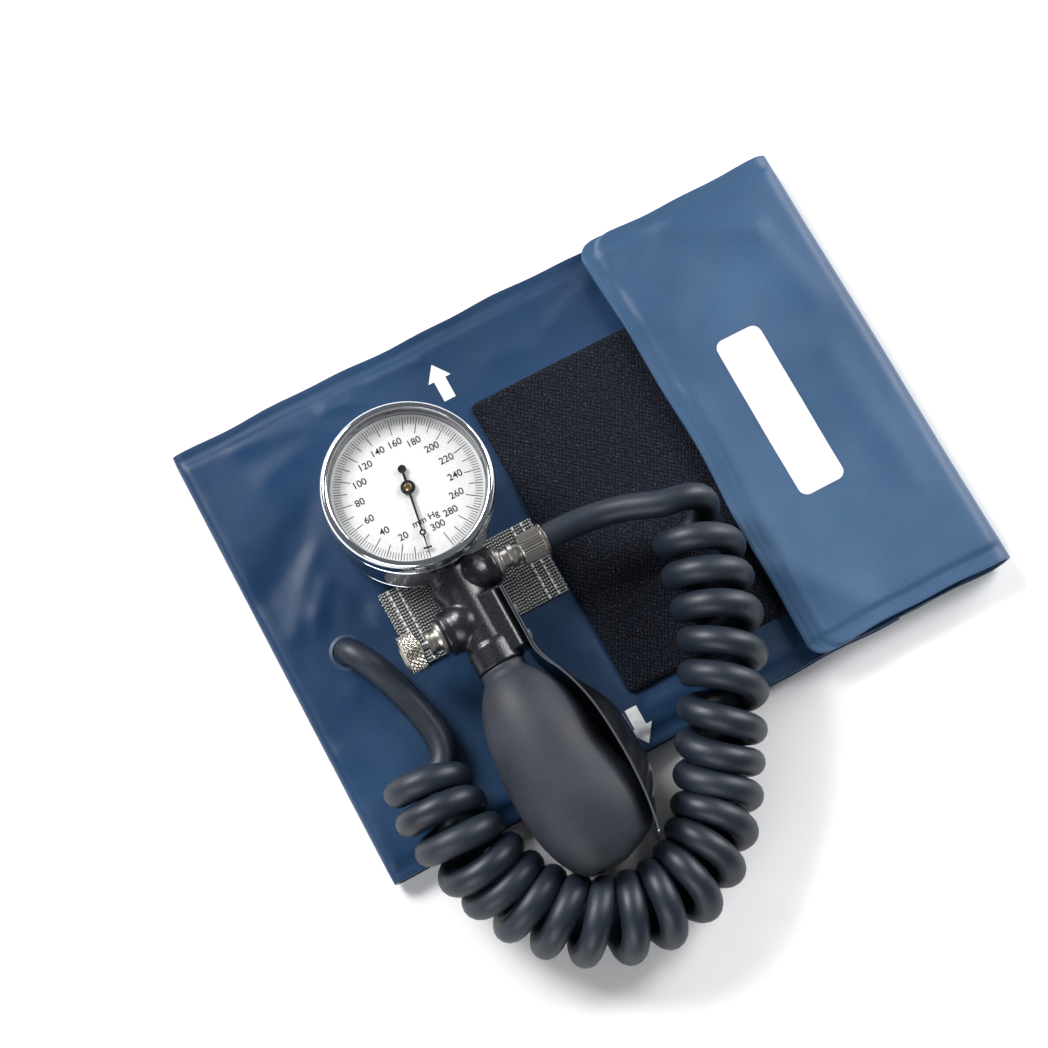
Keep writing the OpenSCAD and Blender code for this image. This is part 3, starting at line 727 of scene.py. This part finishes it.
def sleeve_rows():
    """The sleeve from the back's right end, round the left fold and along the main panel."""
    back_steps, fold_steps, panel_steps = 92, 10, 104
    left_r = PANEL_TOP / 2
    straight = CUFF_LEFT + left_r
    rows = []
    for y in cross_lines(84, 0.12):
        d = min(y - CUFF_LOW, CUFF_HIGH - y)
        thin = weld_thin(d, 0.45)
        row = []
        for i in range(back_steps):
            x = BACK_END + (straight - BACK_END) * i / back_steps
            row.append(((x, y, 0.0), (0, 0, 1), FABRIC * thin))
        lift = panel_top(straight, y) - PANEL_TOP
        for i in range(fold_steps + 1):
            a = math.pi * i / fold_steps
            squeeze = 1.0 - 0.35 * fall(d, 0, 6)
            out = left_r * math.sin(a) * (0.9 + 0.1 * squeeze)
            z = left_r - left_r * math.cos(a) + lift * ramp(a, math.pi / 2, math.pi)
            thick = FABRIC * thin + (0.8 * a / math.pi)
            row.append(((straight - out, y, z), (math.sin(a), 0, math.cos(a)), thick))
        for i in range(1, panel_steps + 1):
            x = straight + (PANEL_RIGHT - straight) * i / panel_steps
            z = panel_top(x, y) + welded(PANEL_RIGHT - x, 1.2)
            row.append(((x, y, z), (0, 0, -1), max(0.9, z - PANEL_Z - 1.4 * (1 - thin))))
        side = 1 if y > CUFF_MIDDLE else -1
        swayed = []
        for (x, _, z), direction, thick in row:
            sway = side * edge_wave(x) * fall(d, 0, 14) * 0.9
            swayed.append(((x, y + sway - side * 0.4 * fall(d, 0, 10), z), direction, thick))
        rows.append(swayed)
    return rows


def thick_slab(name, rows, mat):
    """Like slab, with a thickness of its own at every point and the arc length as U."""
    entries = []
    for row in rows:
        u = 0.0
        line = []
        for k, (p, direction, t) in enumerate(row):
            if k:
                a, b = row[k - 1][0], p
                u += math.hypot(b[0] - a[0], b[2] - a[2])
            line.append((p, Vector(direction) * t, (u, p[1])))
        entries.append(line)
    return slab(name, entries, 1.0, mat)


sleeve = thick_slab("cuff_panels", sleeve_rows(), M["fabric"])
place(sleeve, "cuff", "cuff_fabric", "cuff_sleeve")


def flap_height(x, y):
    d = min(y - CUFF_LOW, CUFF_HIGH - y)
    z = welded(d, 0.7) + crease_height(flap_creases, x, y)
    z += 0.3 * math.sin((y - 10) * 0.045) * fall(x, 44, 70)
    return z


def flap_top(x, y, edge_gap):
    return FLAP_TOP + flap_height(x, y) + welded(edge_gap, 0.6)


def flap_face(x, y):
    """The flap's upper face far inside its edges."""
    return flap_top(x, y, 20.0)


def flap_rows():
    """The flap from under the cuff, round the right fold and back to the flap's own end."""
    back_steps, fold_steps, face_steps, corner = 14, 16, 46, 5.5
    rows = []
    for y in cross_lines(92, 0.06):
        d = min(y - CUFF_LOW, CUFF_HIGH - y)
        thin = weld_thin(d, 0.45)
        end_x = FLAP_LEFT + corner_inset(d, corner) + 0.6 * math.sin(y * 0.05 + 0.5) + 0.3 * math.sin(y * 0.13)
        row = []
        for i in range(back_steps):
            x = BACK_END + (FOLD_X - BACK_END) * i / back_steps
            row.append(((x, y, 0.0), (0, 0, 1), FABRIC * thin))
        start_lift = flap_height(FOLD_X, y)
        for i in range(fold_steps + 1):
            a = math.pi * i / fold_steps
            out = FOLD_R * math.sin(a) * (1.0 + 0.02 * math.sin(y * 0.07))
            z = FOLD_R - FOLD_R * math.cos(a) + start_lift * ramp(a, math.pi / 2, math.pi)
            row.append(((FOLD_X + out, y, z), (-math.sin(a), 0, math.cos(a)), FABRIC * thin))
        for i in range(1, face_steps + 1):
            x = FOLD_X + (end_x - FOLD_X) * math.sin(math.pi / 2 * i / face_steps)
            thick = FABRIC * min(thin, weld_thin(x - end_x, 0.4))
            row.append(((x, y, flap_top(x, y, x - end_x)), (0, 0, -1), thick))
        side = 1 if y > CUFF_MIDDLE else -1
        swayed = []
        for (x, _, z), direction, thick in row:
            sway = side * (edge_wave(x + 40) * 0.9 - 0.4) * fall(d, 0, 14)
            swayed.append(((x, y + sway, z), direction, thick))
        rows.append(swayed)
    return rows


flap = thick_slab("cuff_flap_sheet", flap_rows(), M["flap"])
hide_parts("cuff_fold", "cuff_flap")
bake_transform(flap)


def laid(name, x0, x1, y0, y1, r, mat, level, lift, thick, soft):
    """A sheet laid on a surface: level(x, y) is that surface, lift the height of its own face above it."""
    step = 1.6
    nx, ny = (max(4, round(side / step)) for side in (x1 - x0, y1 - y0))
    rows = []
    for row in rounded_rows(x0, x1, y0, y1, r, nx, ny):
        line = []
        for x, y in row:
            d = min(x - x0, x1 - x, y - y0, y1 - y)
            z = level(x, y) + lift - soft * fall(d, -0.2, 1.4)
            line.append(((x, y, z), (0, 0, -1), (x, y)))
        rows.append(line)
    return slab(name, rows, thick, mat)


loop = laid("loop_pile_patch", -17.5, 88, -46, 61, 2, M["loop"], panel_top, 1.6, 1.5, soft=0.5)
place(loop, "cuff", "loop_pile", "loop_patch")

hook = laid("hook_tape_patch", 44, 88, -38, 66, 2, M["hook"], flap_face, -2.0, 1.15, soft=0.0)
place(hook, "flap", "hook_tape", "hook_patch")

# ---------------------------------------------------------------- webbing strap with real threads

STRAP_X, STRAP_Y = (-72.5, -18.5), (-7.5, 19.0)
THREAD_X, THREAD_Y = 0.9, 1.05
STITCH_LINES, STITCH_HALF = (3.4, 6.6), 0.55


def strap_rows():
    rows, heights = [], []
    step_x, step_y = THREAD_X / 4, THREAD_Y / 4
    nx = round((STRAP_X[1] - STRAP_X[0]) / step_x)
    ny = round((STRAP_Y[1] - STRAP_Y[0]) / step_y)
    for j in range(ny + 1):
        y = STRAP_Y[0] + step_y * j
        line = []
        for i in range(nx + 1):
            x = STRAP_X[0] + step_x * i
            rib = math.floor(x / THREAD_X)
            across = 2 * (x / THREAD_X - rib) - 1
            phase = 0.9 * (rib % 2) + TAU * y / THREAD_Y + 0.5 * math.sin(rib * 2.3)
            thread = math.sqrt(max(0.0, 1 - across * across)) * (0.55 + 0.45 * math.cos(phase))
            d = min(x - STRAP_X[0], STRAP_X[1] - x)
            stitch = 0.0
            for at in STITCH_LINES:
                if abs(d - at) < STITCH_HALF:
                    dash = 0.72 + 0.28 * math.cos(TAU * y / 2.3)
                    stitch = max(0.0, math.cos(math.pi * (d - at) / (2 * STITCH_HALF))) * dash
            frayed = 1 - ramp(min(d, y - STRAP_Y[0], STRAP_Y[1] - y), 0, 0.5)
            height = max(thread, 1.25 * stitch)
            heights.append(height)
            z = panel_top(x, y) + 1.1 + 0.42 * height - 0.3 * frayed
            line.append(((x + 0.15 * math.sin(y * 3.1) * frayed, y, z), (0, 0, -1), (x, y)))
        rows.append(line)
    return rows, heights


rows, heights = strap_rows()
strap = slab("gauge_strap_weave", rows, 1.05, M["webbing"])
# The thread height also drives the painted shade between threads and the painted light on their crowns.
thread_layer = strap.data.attributes.new("thread", "FLOAT", "POINT")
thread_layer.data.foreach_set("value", heights + [0.2] * len(heights))
place(strap, "cuff", "webbing", "gauge_strap")

# ---------------------------------------------------------------- prints and port


ARROW_HALF, SHAFT_HALF, ARROW_HEAD = 4.0, 2.01, 5.6
PRINT_THICK = 0.06


def flat_print(name, outline, level, lift, body, mat, count):
    """A thin printed shape that follows a surface. outline lists (x, (low y, high y)) columns."""
    rows = []
    for x, (low, high) in outline:
        ys = [low + (high - low) * k / count for k in range(count + 1)]
        rows.append([((x, y, level(x, y) + lift), (0, 0, -1), (x, y)) for y in ys])
    return place(slab(name, rows, PRINT_THICK, mat), body, "cuff_fabric")


def arrow_outline(cx, tail_y, tip_y):
    """An arrow along Y: a pointed head on a straight shaft."""
    side = 1 if tip_y > tail_y else -1
    head_y = tip_y - side * ARROW_HEAD
    hair = 0.01

    def column(x, base, slant_x, spare=0.0):
        tip = tip_y - side * ARROW_HEAD * abs(slant_x) / ARROW_HALF
        return x, (min(base, tip), max(base, tip) + spare)

    columns = []
    for k in range(17):
        x = -ARROW_HALF + 2 * ARROW_HALF * k / 16
        columns.append(column(x, tail_y if abs(x) <= SHAFT_HALF else head_y, x, hair))
    for shoulder in (-SHAFT_HALF - hair, SHAFT_HALF + hair):
        outward = math.copysign(hair, shoulder)
        columns.append(column(shoulder - outward, tail_y, shoulder))
        columns.append(column(shoulder + outward, head_y, shoulder))
    return [(cx + x, span) for x, span in sorted(columns)]


def label_outline(cx, cy, half_x, half_y, r):
    """A plain rounded bar, taller than wide."""
    columns = []
    for k in range(25):
        x = -half_x * math.cos(math.pi * k / 24)
        inset = corner_inset(half_x - abs(x), r)
        columns.append((cx + x, (cy - half_y + inset, cy + half_y - inset)))
    return columns


for name, outline in (
    ("arrow_print_top", arrow_outline(-21.8, 66.5, 79.5)),
    ("arrow_print_low", arrow_outline(-19.8, -49.8, -62.0)),
):
    flat_print(name, outline, panel_top, 0.12, "cuff", M["print"], 10)
label = label_outline(68.5, 12.0, 8.0, 29.0, 3.0)
flat_print("flap_label_field", label, flap_face, 0.10, "flap", M["label"], 40)


def port_collar():
    """Moulded ring welded round the hole where the hose goes in."""
    profile = [
        (-0.8, 6.0), (0.0, 6.0), (0.2, 5.8), (0.35, 5.4), (0.55, 5.0), (0.6, 4.8), (0.5, 4.55), (-0.8, 4.5),
        (-0.8, 6.0),
    ]
    return turned("port_ring", profile, (PORT_X, PORT_Y, PANEL_TOP), (0, 0, 1), M["port"], 64)


place(port_collar(), "cuff", "port_plastic", "port_eyelet")

# ---------------------------------------------------------------- bulb

BULB_Y, BULB_LEN, BULB_R = -23.0, 69.0, 16.5


def bulb_profile():
    rows = [(0.0, 5.6), (0.0, 6.9), (0.3, 7.2), (1.2, 7.35), (1.9, 7.2), (2.3, 7.3)]
    n = 70
    for i in range(1, n):
        t = i / n
        body = BULB_R * math.sqrt(max(0.0, 1 - abs(2 * (0.035 + 0.93 * t) - 1) ** 2.7))
        r = body * (0.95 + 0.08 * ramp(t, 0, 0.6) - 0.03 * t)
        along = 2.4 + (BULB_LEN - 2.4) * t
        rows.append((along, max(r, 7.35 if t < 0.06 else 0.0)))
    rows += [(BULB_LEN - 0.1, 6.2), (BULB_LEN, 5.6), (BULB_LEN, 4.55), (BULB_LEN - 2, 4.5)]
    return rows


BULB_SIDE = Vector((0, -1, 0)).orthogonal().normalized()
BULB_OTHER = Vector((0, -1, 0)).cross(BULB_SIDE)


def bulb_swell(along, radius, angle):
    """The bulb is fuller on the side that leans on the lever, most of all near its end."""
    toward = (math.cos(angle) * BULB_SIDE + math.sin(angle) * BULB_OTHER).x
    t = along / BULB_LEN
    return radius + 5.6 * max(0.0, toward) ** 1.5 * ramp(t, 0.45, 0.86) * fall(t, 0.92, 1.0)


bulb_at = (UNIT_X, BULB_Y, UNIT_Z)
bulb = turned("bulb_skin", bulb_profile(), bulb_at, (0, -1, 0), M["bulb"], 96, bulb_swell, sharp=50)
place(bulb, "hand_unit", "bulb_rubber", "rubber_bulb")

# ---------------------------------------------------------------- spoon lever


SPOON_Y, SPOON_LEN = -0.5, 91.0
spoon_edge = [
    (0, -40), (0.18, -40), (0.255, -39.9), (0.31, -38.4), (0.36, -36.3), (0.42, -34.6), (0.5, -33.2),
    (0.6, -32.4), (0.72, -32.0), (0.84, -32.3), (0.93, -33.1), (1.0, -34.0),
]
spoon_line = catmull([(100 * a, b, 0) for a, b in spoon_edge], 10)


def spoon_edge_x(s):
    """Where the lever's edge runs: flat along the casting, one soft bend, then straight to the tip."""
    for a, b in zip(spoon_line, spoon_line[1:]):
        if b.x >= 100 * s:
            return a.y + (b.y - a.y) * (100 * s - a.x) / max(1e-6, b.x - a.x)
    return spoon_line[-1].y


def spoon_half(s):
    tip = 1 - math.sqrt(max(0.0, 1 - max(0.0, (s - 0.72) / 0.28) ** 2.2))
    return 6.5 + 8 * ramp(s, 0.23, 0.62) - 9.5 * tip


def spoon_dish(s):
    return 6.8 * ramp(s, 0.25, 0.6) * fall(s, 0.74, 1)


def spoon_mesh():
    """The lever as a thin dished shell, black with bright corners along its rim."""
    ns, nv = 110, 36
    inner, outer = [], []
    for i in range(ns + 1):
        s = i / ns
        y = SPOON_Y - SPOON_LEN * s
        row_in, row_out = [], []
        for k in range(nv + 1):
            v = -math.cos(math.pi * k / nv)
            half = max(0.6, spoon_half(s))
            if s < 0.02:
                half -= 1.2 * (1 - math.sqrt(max(0.0, 1 - (1 - s / 0.02) ** 2)))
            x = spoon_edge_x(s) + spoon_dish(s) * (1 - v * v)
            row_in.append(Vector((x, y, UNIT_Z + v * half)))
            row_out.append(Vector((x + 1.2 - 0.6 * ramp(s, 0.26, 0.4), y, UNIT_Z + v * half)))
        inner.append(row_in)
        outer.append(row_out)
    verts = [v for r in inner for v in r] + [v for r in outer for v in r]
    m = nv + 1
    n = (ns + 1) * m
    faces = []
    for i in range(ns):
        for k in range(nv):
            a = i * m + k
            faces.append((a, a + 1, a + m + 1, a + m))
            faces.append((n + a, n + a + m, n + a + m + 1, n + a + 1))
    border = (
        [i * m for i in range(ns + 1)]
        + [ns * m + k for k in range(1, m)]
        + [i * m + nv for i in range(ns - 1, -1, -1)]
        + list(range(nv - 1, 0, -1))
    )
    body_faces = len(faces)
    middles = []
    for b in border:
        s = (b // m) / ns
        gap = 0.30 * fall(s, 0.24, 0.34) + 0.03
        a = verts[b]
        middle = (a + verts[n + b]) / 2
        middles.append((len(verts), len(verts) + 1))
        verts += [a.lerp(middle, 1 - gap), a.lerp(middle, 1 + gap)]
    kinds = [1] * body_faces
    count = len(border)
    for i in range(count):
        j = (i + 1) % count
        a, b = border[i], border[j]
        faces.append((a, middles[i][0], middles[j][0], b))
        faces.append((middles[i][0], middles[i][1], middles[j][1], middles[j][0]))
        faces.append((middles[i][1], n + a, n + b, middles[j][1]))
        kinds += [0, 1, 0]
    obj = make("spoon_shell", verts, faces, [M["chrome"], M["spoon"]], sharp=40)
    obj.data.polygons.foreach_set("material_index", kinds)
    return obj


spoon = spoon_mesh()
place(spoon, "hand_unit", "spoon_black", "spoon_lever")

# ---------------------------------------------------------------- manifold casting


def cylinder_points(start, end, radius, end_radius=None):
    """A cylinder, or a cone where end_radius is given."""
    start, end = Vector(start), Vector(end)
    axis = (end - start).normalized()
    side = axis.orthogonal().normalized()
    other = axis.cross(side)
    ends = ((start, radius), (end, end_radius or radius))
    return skin([ring_points(p, side, other, r, 48) for p, r in ends])


def ball_points(centre, radius):
    rows, sides = 20, 32
    rings = []
    for i in range(1, rows):
        a = math.pi * i / rows
        ring = []
        for k in range(sides):
            turn = TAU * k / sides
            x, y = radius * math.sin(a) * math.cos(turn), radius * math.sin(a) * math.sin(turn)
            ring.append(Vector(centre) + Vector((x, y, radius * math.cos(a))))
        rings.append(ring)
    return skin(rings)


def fused(name, parts, mat, voxel, smoothing):
    """One smooth casting from overlapping closed shapes."""
    verts, faces = [], []
    for v, f in parts:
        base = len(verts)
        verts += v
        faces += [tuple(base + i for i in face) for face in f]
    raw = make(name + "_raw", verts, faces, mat)
    remesh = raw.modifiers.new("voxels", "REMESH")
    remesh.mode = "VOXEL"
    remesh.voxel_size = voxel * MM
    soften = raw.modifiers.new("soften", "SMOOTH")
    soften.factor = 0.5
    soften.iterations = smoothing
    bpy.context.view_layer.update()
    mesh = bpy.data.meshes.new_from_object(raw.evaluated_get(bpy.context.evaluated_depsgraph_get()))
    mesh.name = name
    bpy.data.objects.remove(raw)
    mesh.polygons.foreach_set("use_smooth", [True] * len(mesh.polygons))
    mesh.materials.clear()
    mesh.materials.append(mat)
    obj = bpy.data.objects.new(name, mesh)
    scene.collection.objects.link(obj)
    return obj


def box_points(x0, x1, y0, y1, z0, z1, cut):
    """A block along Y whose two long edges at x1 are cut at 45 degrees."""
    ring = [(x0, z0), (x1 - cut, z0), (x1, z0 + cut), (x1, z1 - cut), (x1 - cut, z1), (x0, z1)]
    rings = [[Vector((x, y, z)) for x, z in ring] for y in (y0, y1)]
    return skin(rings)


def casting_parts():
    ux, uz = UNIT_X, UNIT_Z
    return [
        cylinder_points((ux, 11.0, uz), (ux, -20.0, uz), 7.3),
        cylinder_points((ux, -15.5, uz), (ux, -23.0, uz), 7.85),
        cylinder_points((ux, -22.0, uz), (ux, -29.0, uz), 5.5),
        cylinder_points((ux, 15.8, uz), (ux, 6.0, uz), 4.0),
        cylinder_points((ux - 2, HOSE_Y, uz), (-37.1, HOSE_Y, uz), 5.7),
        cylinder_points((-41.5, HOSE_Y, uz), (-37.1, HOSE_Y, uz), 6.2),
        cylinder_points((ux, VALVE_Y, uz), (-61.4, VALVE_Y, uz), 7.1),
        cylinder_points((ux - 1, 7.5, uz - 1), (ux + 1, -4, uz), 8.0, end_radius=6.5),
        box_points(ux - 2, -40.05, -21.2, -0.8, uz - 6.6, uz + 6.6, 2.4),
        ball_points((-54.8, VALVE_Y, uz + 0.7), 7.5),
        ball_points((-44.6, HOSE_Y, uz + 1.1), 6.5),
    ]


casting = fused("manifold_casting", casting_parts(), M["cast"], 0.42, 7)
place(casting, "hand_unit", "die_cast_black", "manifold_body")

# ---------------------------------------------------------------- hose connector

HOSE_AT = (0, HOSE_Y, UNIT_Z)
VALVE_AT = (0, VALVE_Y, UNIT_Z)

nipple_profile = [
    (-41.0, 0.0), (-41.0, 3.0), (-37.0, 3.0), (-37.0, 5.1), (-36.8, 5.3), (-36.1, 5.3), (-35.9, 5.1),
    (-35.8, 4.1), (-35.0, 4.1), (-34.8, 3.9), (-34.6, 3.2), (-32.3, 3.2), (-32.1, 3.5), (-31.9, 4.0),
    (-30.4, 4.0), (-30.2, 3.8), (-30.0, 3.1), (-28.8, 2.95), (-19.2, 2.95), (-19.2, 0.0),
]
nipple = turned("nipple_turned", nipple_profile, HOSE_AT, (1, 0, 0), M["nickel"], 72, sharp=30)
place(nipple, "hand_unit", "nickel", "hose_nipple")


def straight_knurl(along, radius, angle):
    if -28.0 < along < -20.7:
        return radius - 0.38 * (0.5 + 0.5 * math.cos(angle * 30)) ** 1.5
    return radius


collar_profile = [(-28.4, 3.06), (-28.4, 4.3), (-28.1, 4.6), (-28.0, 4.65)]
collar_profile += [(-27.9 + 7.0 * k / 8, 4.85) for k in range(9)]
collar_profile += [
    (-20.7, 4.6), (-20.6, 4.6), (-20.5, 5.1), (-20.3, 5.3), (-19.7, 5.3), (-19.5, 5.1), (-19.5, 4.5),
    (-19.5, 3.06), (-28.4, 3.06),
]
collar = turned(
    "collar_knurled", collar_profile, HOSE_AT, (1, 0, 0), M["nickel"], 300, straight_knurl, sharp=25
)
place(collar, "collar", "nickel", "hose_collar")

# ---------------------------------------------------------------- release valve

bush_profile = [
    (-55.6, 1.56), (-55.6, 4.0), (-62.0, 4.0), (-62.0, 5.3), (-62.15, 5.5), (-62.95, 5.5), (-63.1, 5.3),
    (-63.2, 4.0), (-63.9, 3.8), (-64.1, 3.3), (-65.4, 3.3), (-65.6, 3.7), (-65.8, 4.0), (-66.9, 4.0),
    (-67.1, 3.8), (-67.2, 1.56), (-55.6, 1.56),
]
bush = turned("valve_bush_turned", bush_profile, VALVE_AT, (1, 0, 0), M["nickel"], 72, sharp=30)
place(bush, "hand_unit", "nickel", "valve_bush")

KNOB_X0, KNOB_X1, KNOB_R = -75.6, -69.4, 6.3


def triangle_wave(v):
    return 1 - abs(2 * (v - math.floor(v)) - 1)


def diamond_knurl(along, radius, angle):
    if KNOB_X0 + 0.55 < along < KNOB_X1 - 0.55:
        turns = angle / TAU * 24
        climb = (along - KNOB_X0) / 1.65
        peak = min(triangle_wave(turns + climb), triangle_wave(turns - climb))
        return radius - 0.5 + 0.62 * peak
    return radius


knob_profile = [(KNOB_X1, 1.56), (KNOB_X1, 5.0), (KNOB_X1 - 0.15, 5.35), (KNOB_X1 - 0.5, 5.75)]
knob_steps = 30
knob_profile += [
    (KNOB_X1 - 0.6 - (KNOB_X1 - KNOB_X0 - 1.2) * k / knob_steps, KNOB_R - 0.1) for k in range(knob_steps + 1)
]
knob_profile += [
    (KNOB_X0 + 0.5, 5.75), (KNOB_X0 + 0.15, 5.35), (KNOB_X0, 5.0), (KNOB_X0, 4.0), (KNOB_X0 + 0.35, 3.6),
    (KNOB_X0 + 0.35, 0.0),
]
knob = turned("knob_knurled", knob_profile, VALVE_AT, (1, 0, 0), M["nickel"], 300, diamond_knurl, sharp=20)
place(knob, "knob", "nickel", "valve_knob")

# ---------------------------------------------------------------- gauge

DIAL_TOP = 35.0
DIAL_PRINT = DIAL_TOP + 0.04
SCALE_R = 23.0
BEZEL_LIP_R = 24.62
GAUGE_AT = (UNIT_X, GAUGE_Y, 0)
case_profile = [
    (8.5, 0.0), (8.5, 22.6), (8.7, 23.4), (9.3, 24.3), (10.2, 25.0), (10.8, 25.35), (11.3, 25.5),
    (12.2, 25.5), (12.4, 25.25), (12.8, 25.25), (13.0, 25.5), (32.0, 25.5), (36.4, 25.45), (36.4, 24.0),
    (34.4, 24.0), (34.4, 23.0), (33.6, 23.0), (32.4, 24.0), (10.6, 24.0), (10.5, 0.0),
]
case_shell = turned("case_shell", case_profile, GAUGE_AT, (0, 0, 1), M["case"], 192, sharp=30)
place(case_shell, "hand_unit", "gauge_case_metal", "gauge_case")

bezel_profile = [
    (32.9, 25.55), (32.9, 26.3), (33.1, 26.75), (33.5, 27.0), (34.3, 27.0), (34.5, 26.75), (34.9, 26.75),
    (35.1, 27.0), (38.2, 27.0), (39.1, 26.8), (39.8, 26.45), (40.2, 26.0), (40.4, 25.5), (40.35, 25.0),
    (40.1, 24.65), (39.6, 24.45), (39.05, 24.4), (39.05, 25.5), (32.9, 25.55),
]
bezel = turned("bezel_ring", bezel_profile, GAUGE_AT, (0, 0, 1), M["chrome"], 256, sharp=30)
# Painted shade: the bezel's inner lip faces take the grey gasket finish, standing in for the shaded ring
# between the chrome and the dial.
bezel.data.materials.append(M["gasket"])
for face in bezel.data.polygons:
    if math.hypot(face.center.x - UNIT_X * MM, face.center.y - GAUGE_Y * MM) < BEZEL_LIP_R * MM:
        face.material_index = 1
place(bezel, "hand_unit", "chrome", "gauge_bezel")


def dial_angle(value):
    """Where a pressure stands on the dial. The scale runs clockwise over 340 degrees."""
    return math.radians(90 - (190 + 340 * value / 300))


def dial_marks():
    """Scale lines: every 2 from 0 to 300, with longer ones at 10 and 20."""
    verts, faces = [], []
    for step in range(151):
        value = 2 * step
        angle = dial_angle(value)
        if value % 20 == 0:
            inner, half = 17.8, 0.12
        elif value % 10 == 0:
            inner, half = 18.7, 0.12
        else:
            inner, half = 20.7, 0.085
        out = Vector((math.cos(angle), math.sin(angle), 0))
        side = Vector((-out.y, out.x, 0))
        base = Vector((UNIT_X, GAUGE_Y, 0))
        n = len(verts)
        for z in (DIAL_TOP + 0.05, DIAL_TOP + 0.02):
            for r, w in ((inner, -half), (SCALE_R, -half), (SCALE_R, half), (inner, half)):
                verts.append(base + out * r + side * w + Vector((0, 0, z)))
        faces.append((n, n + 1, n + 2, n + 3))
        faces.append((n + 7, n + 6, n + 5, n + 4))
        for k in range(4):
            faces.append((n + k, n + 4 + k, n + 4 + (k + 1) % 4, n + (k + 1) % 4))
    return make("dial_scale_lines", verts, faces, M["ink"])


place(dial_marks(), "hand_unit", "pointer_black")


def dial_text(name, text, x, y, size):
    """Raised ink centred on a point of the dial; x and y are measured from its middle."""
    curve = bpy.data.curves.new(name, "FONT")
    curve.body = text
    curve.size = size * MM
    curve.align_x = "CENTER"
    curve.align_y = "CENTER"
    curve.extrude = 0.015 * MM
    curve.offset = 0.035 * MM
    curve.materials.append(M["ink"])
    text_obj = bpy.data.objects.new(name, curve)
    text_obj.location = ((UNIT_X + x) * MM, (GAUGE_Y + y) * MM, DIAL_PRINT * MM)
    scene.collection.objects.link(text_obj)
    place(text_obj, "hand_unit", "pointer_black")


for value in range(20, 301, 20):
    angle = dial_angle(value)
    reach = 15.4 if value < 100 else 15.0
    dial_text(f"dial_number_{value}", str(value), reach * math.cos(angle), reach * math.sin(angle), 3.15)
dial_text("dial_unit", "mm Hg", 0.2, -11.2, 3.0)

# ---------------------------------------------------------------- finishes of the CAD parts that stay

finishes = {
    "brass": ["movement_lower_plate", "movement_upper_plate", "movement_pillars", "capsule", "pointer_cap",
              "pinion", "sector_gear"],
    "steel": ["movement_screws", "hairspring", "inlet_valve_body", "pointer_arbor", "sector_arbor",
              "capsule_pin", "valve_needle", "inlet_ball"],
    "elbow": ["port_elbow"],
    "gasket": ["lens_gasket"],
    "lens": ["gauge_lens"],
    "dial": ["dial_plate"],
    "seal": ["valve_gasket"],
    "nickel": ["spoon_screws"],
    "pointer": ["pointer_needle"],
    "valve_rubber": ["outlet_disc"],
}
for key, node_name in [(key, node_name) for key, names in finishes.items() for node_name in names]:
    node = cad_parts[node_name]
    if not node.material_slots:
        node.data.materials.append(None)
    for material_slot in node.material_slots:
        material_slot.link = "OBJECT"
        material_slot.material = M[key]
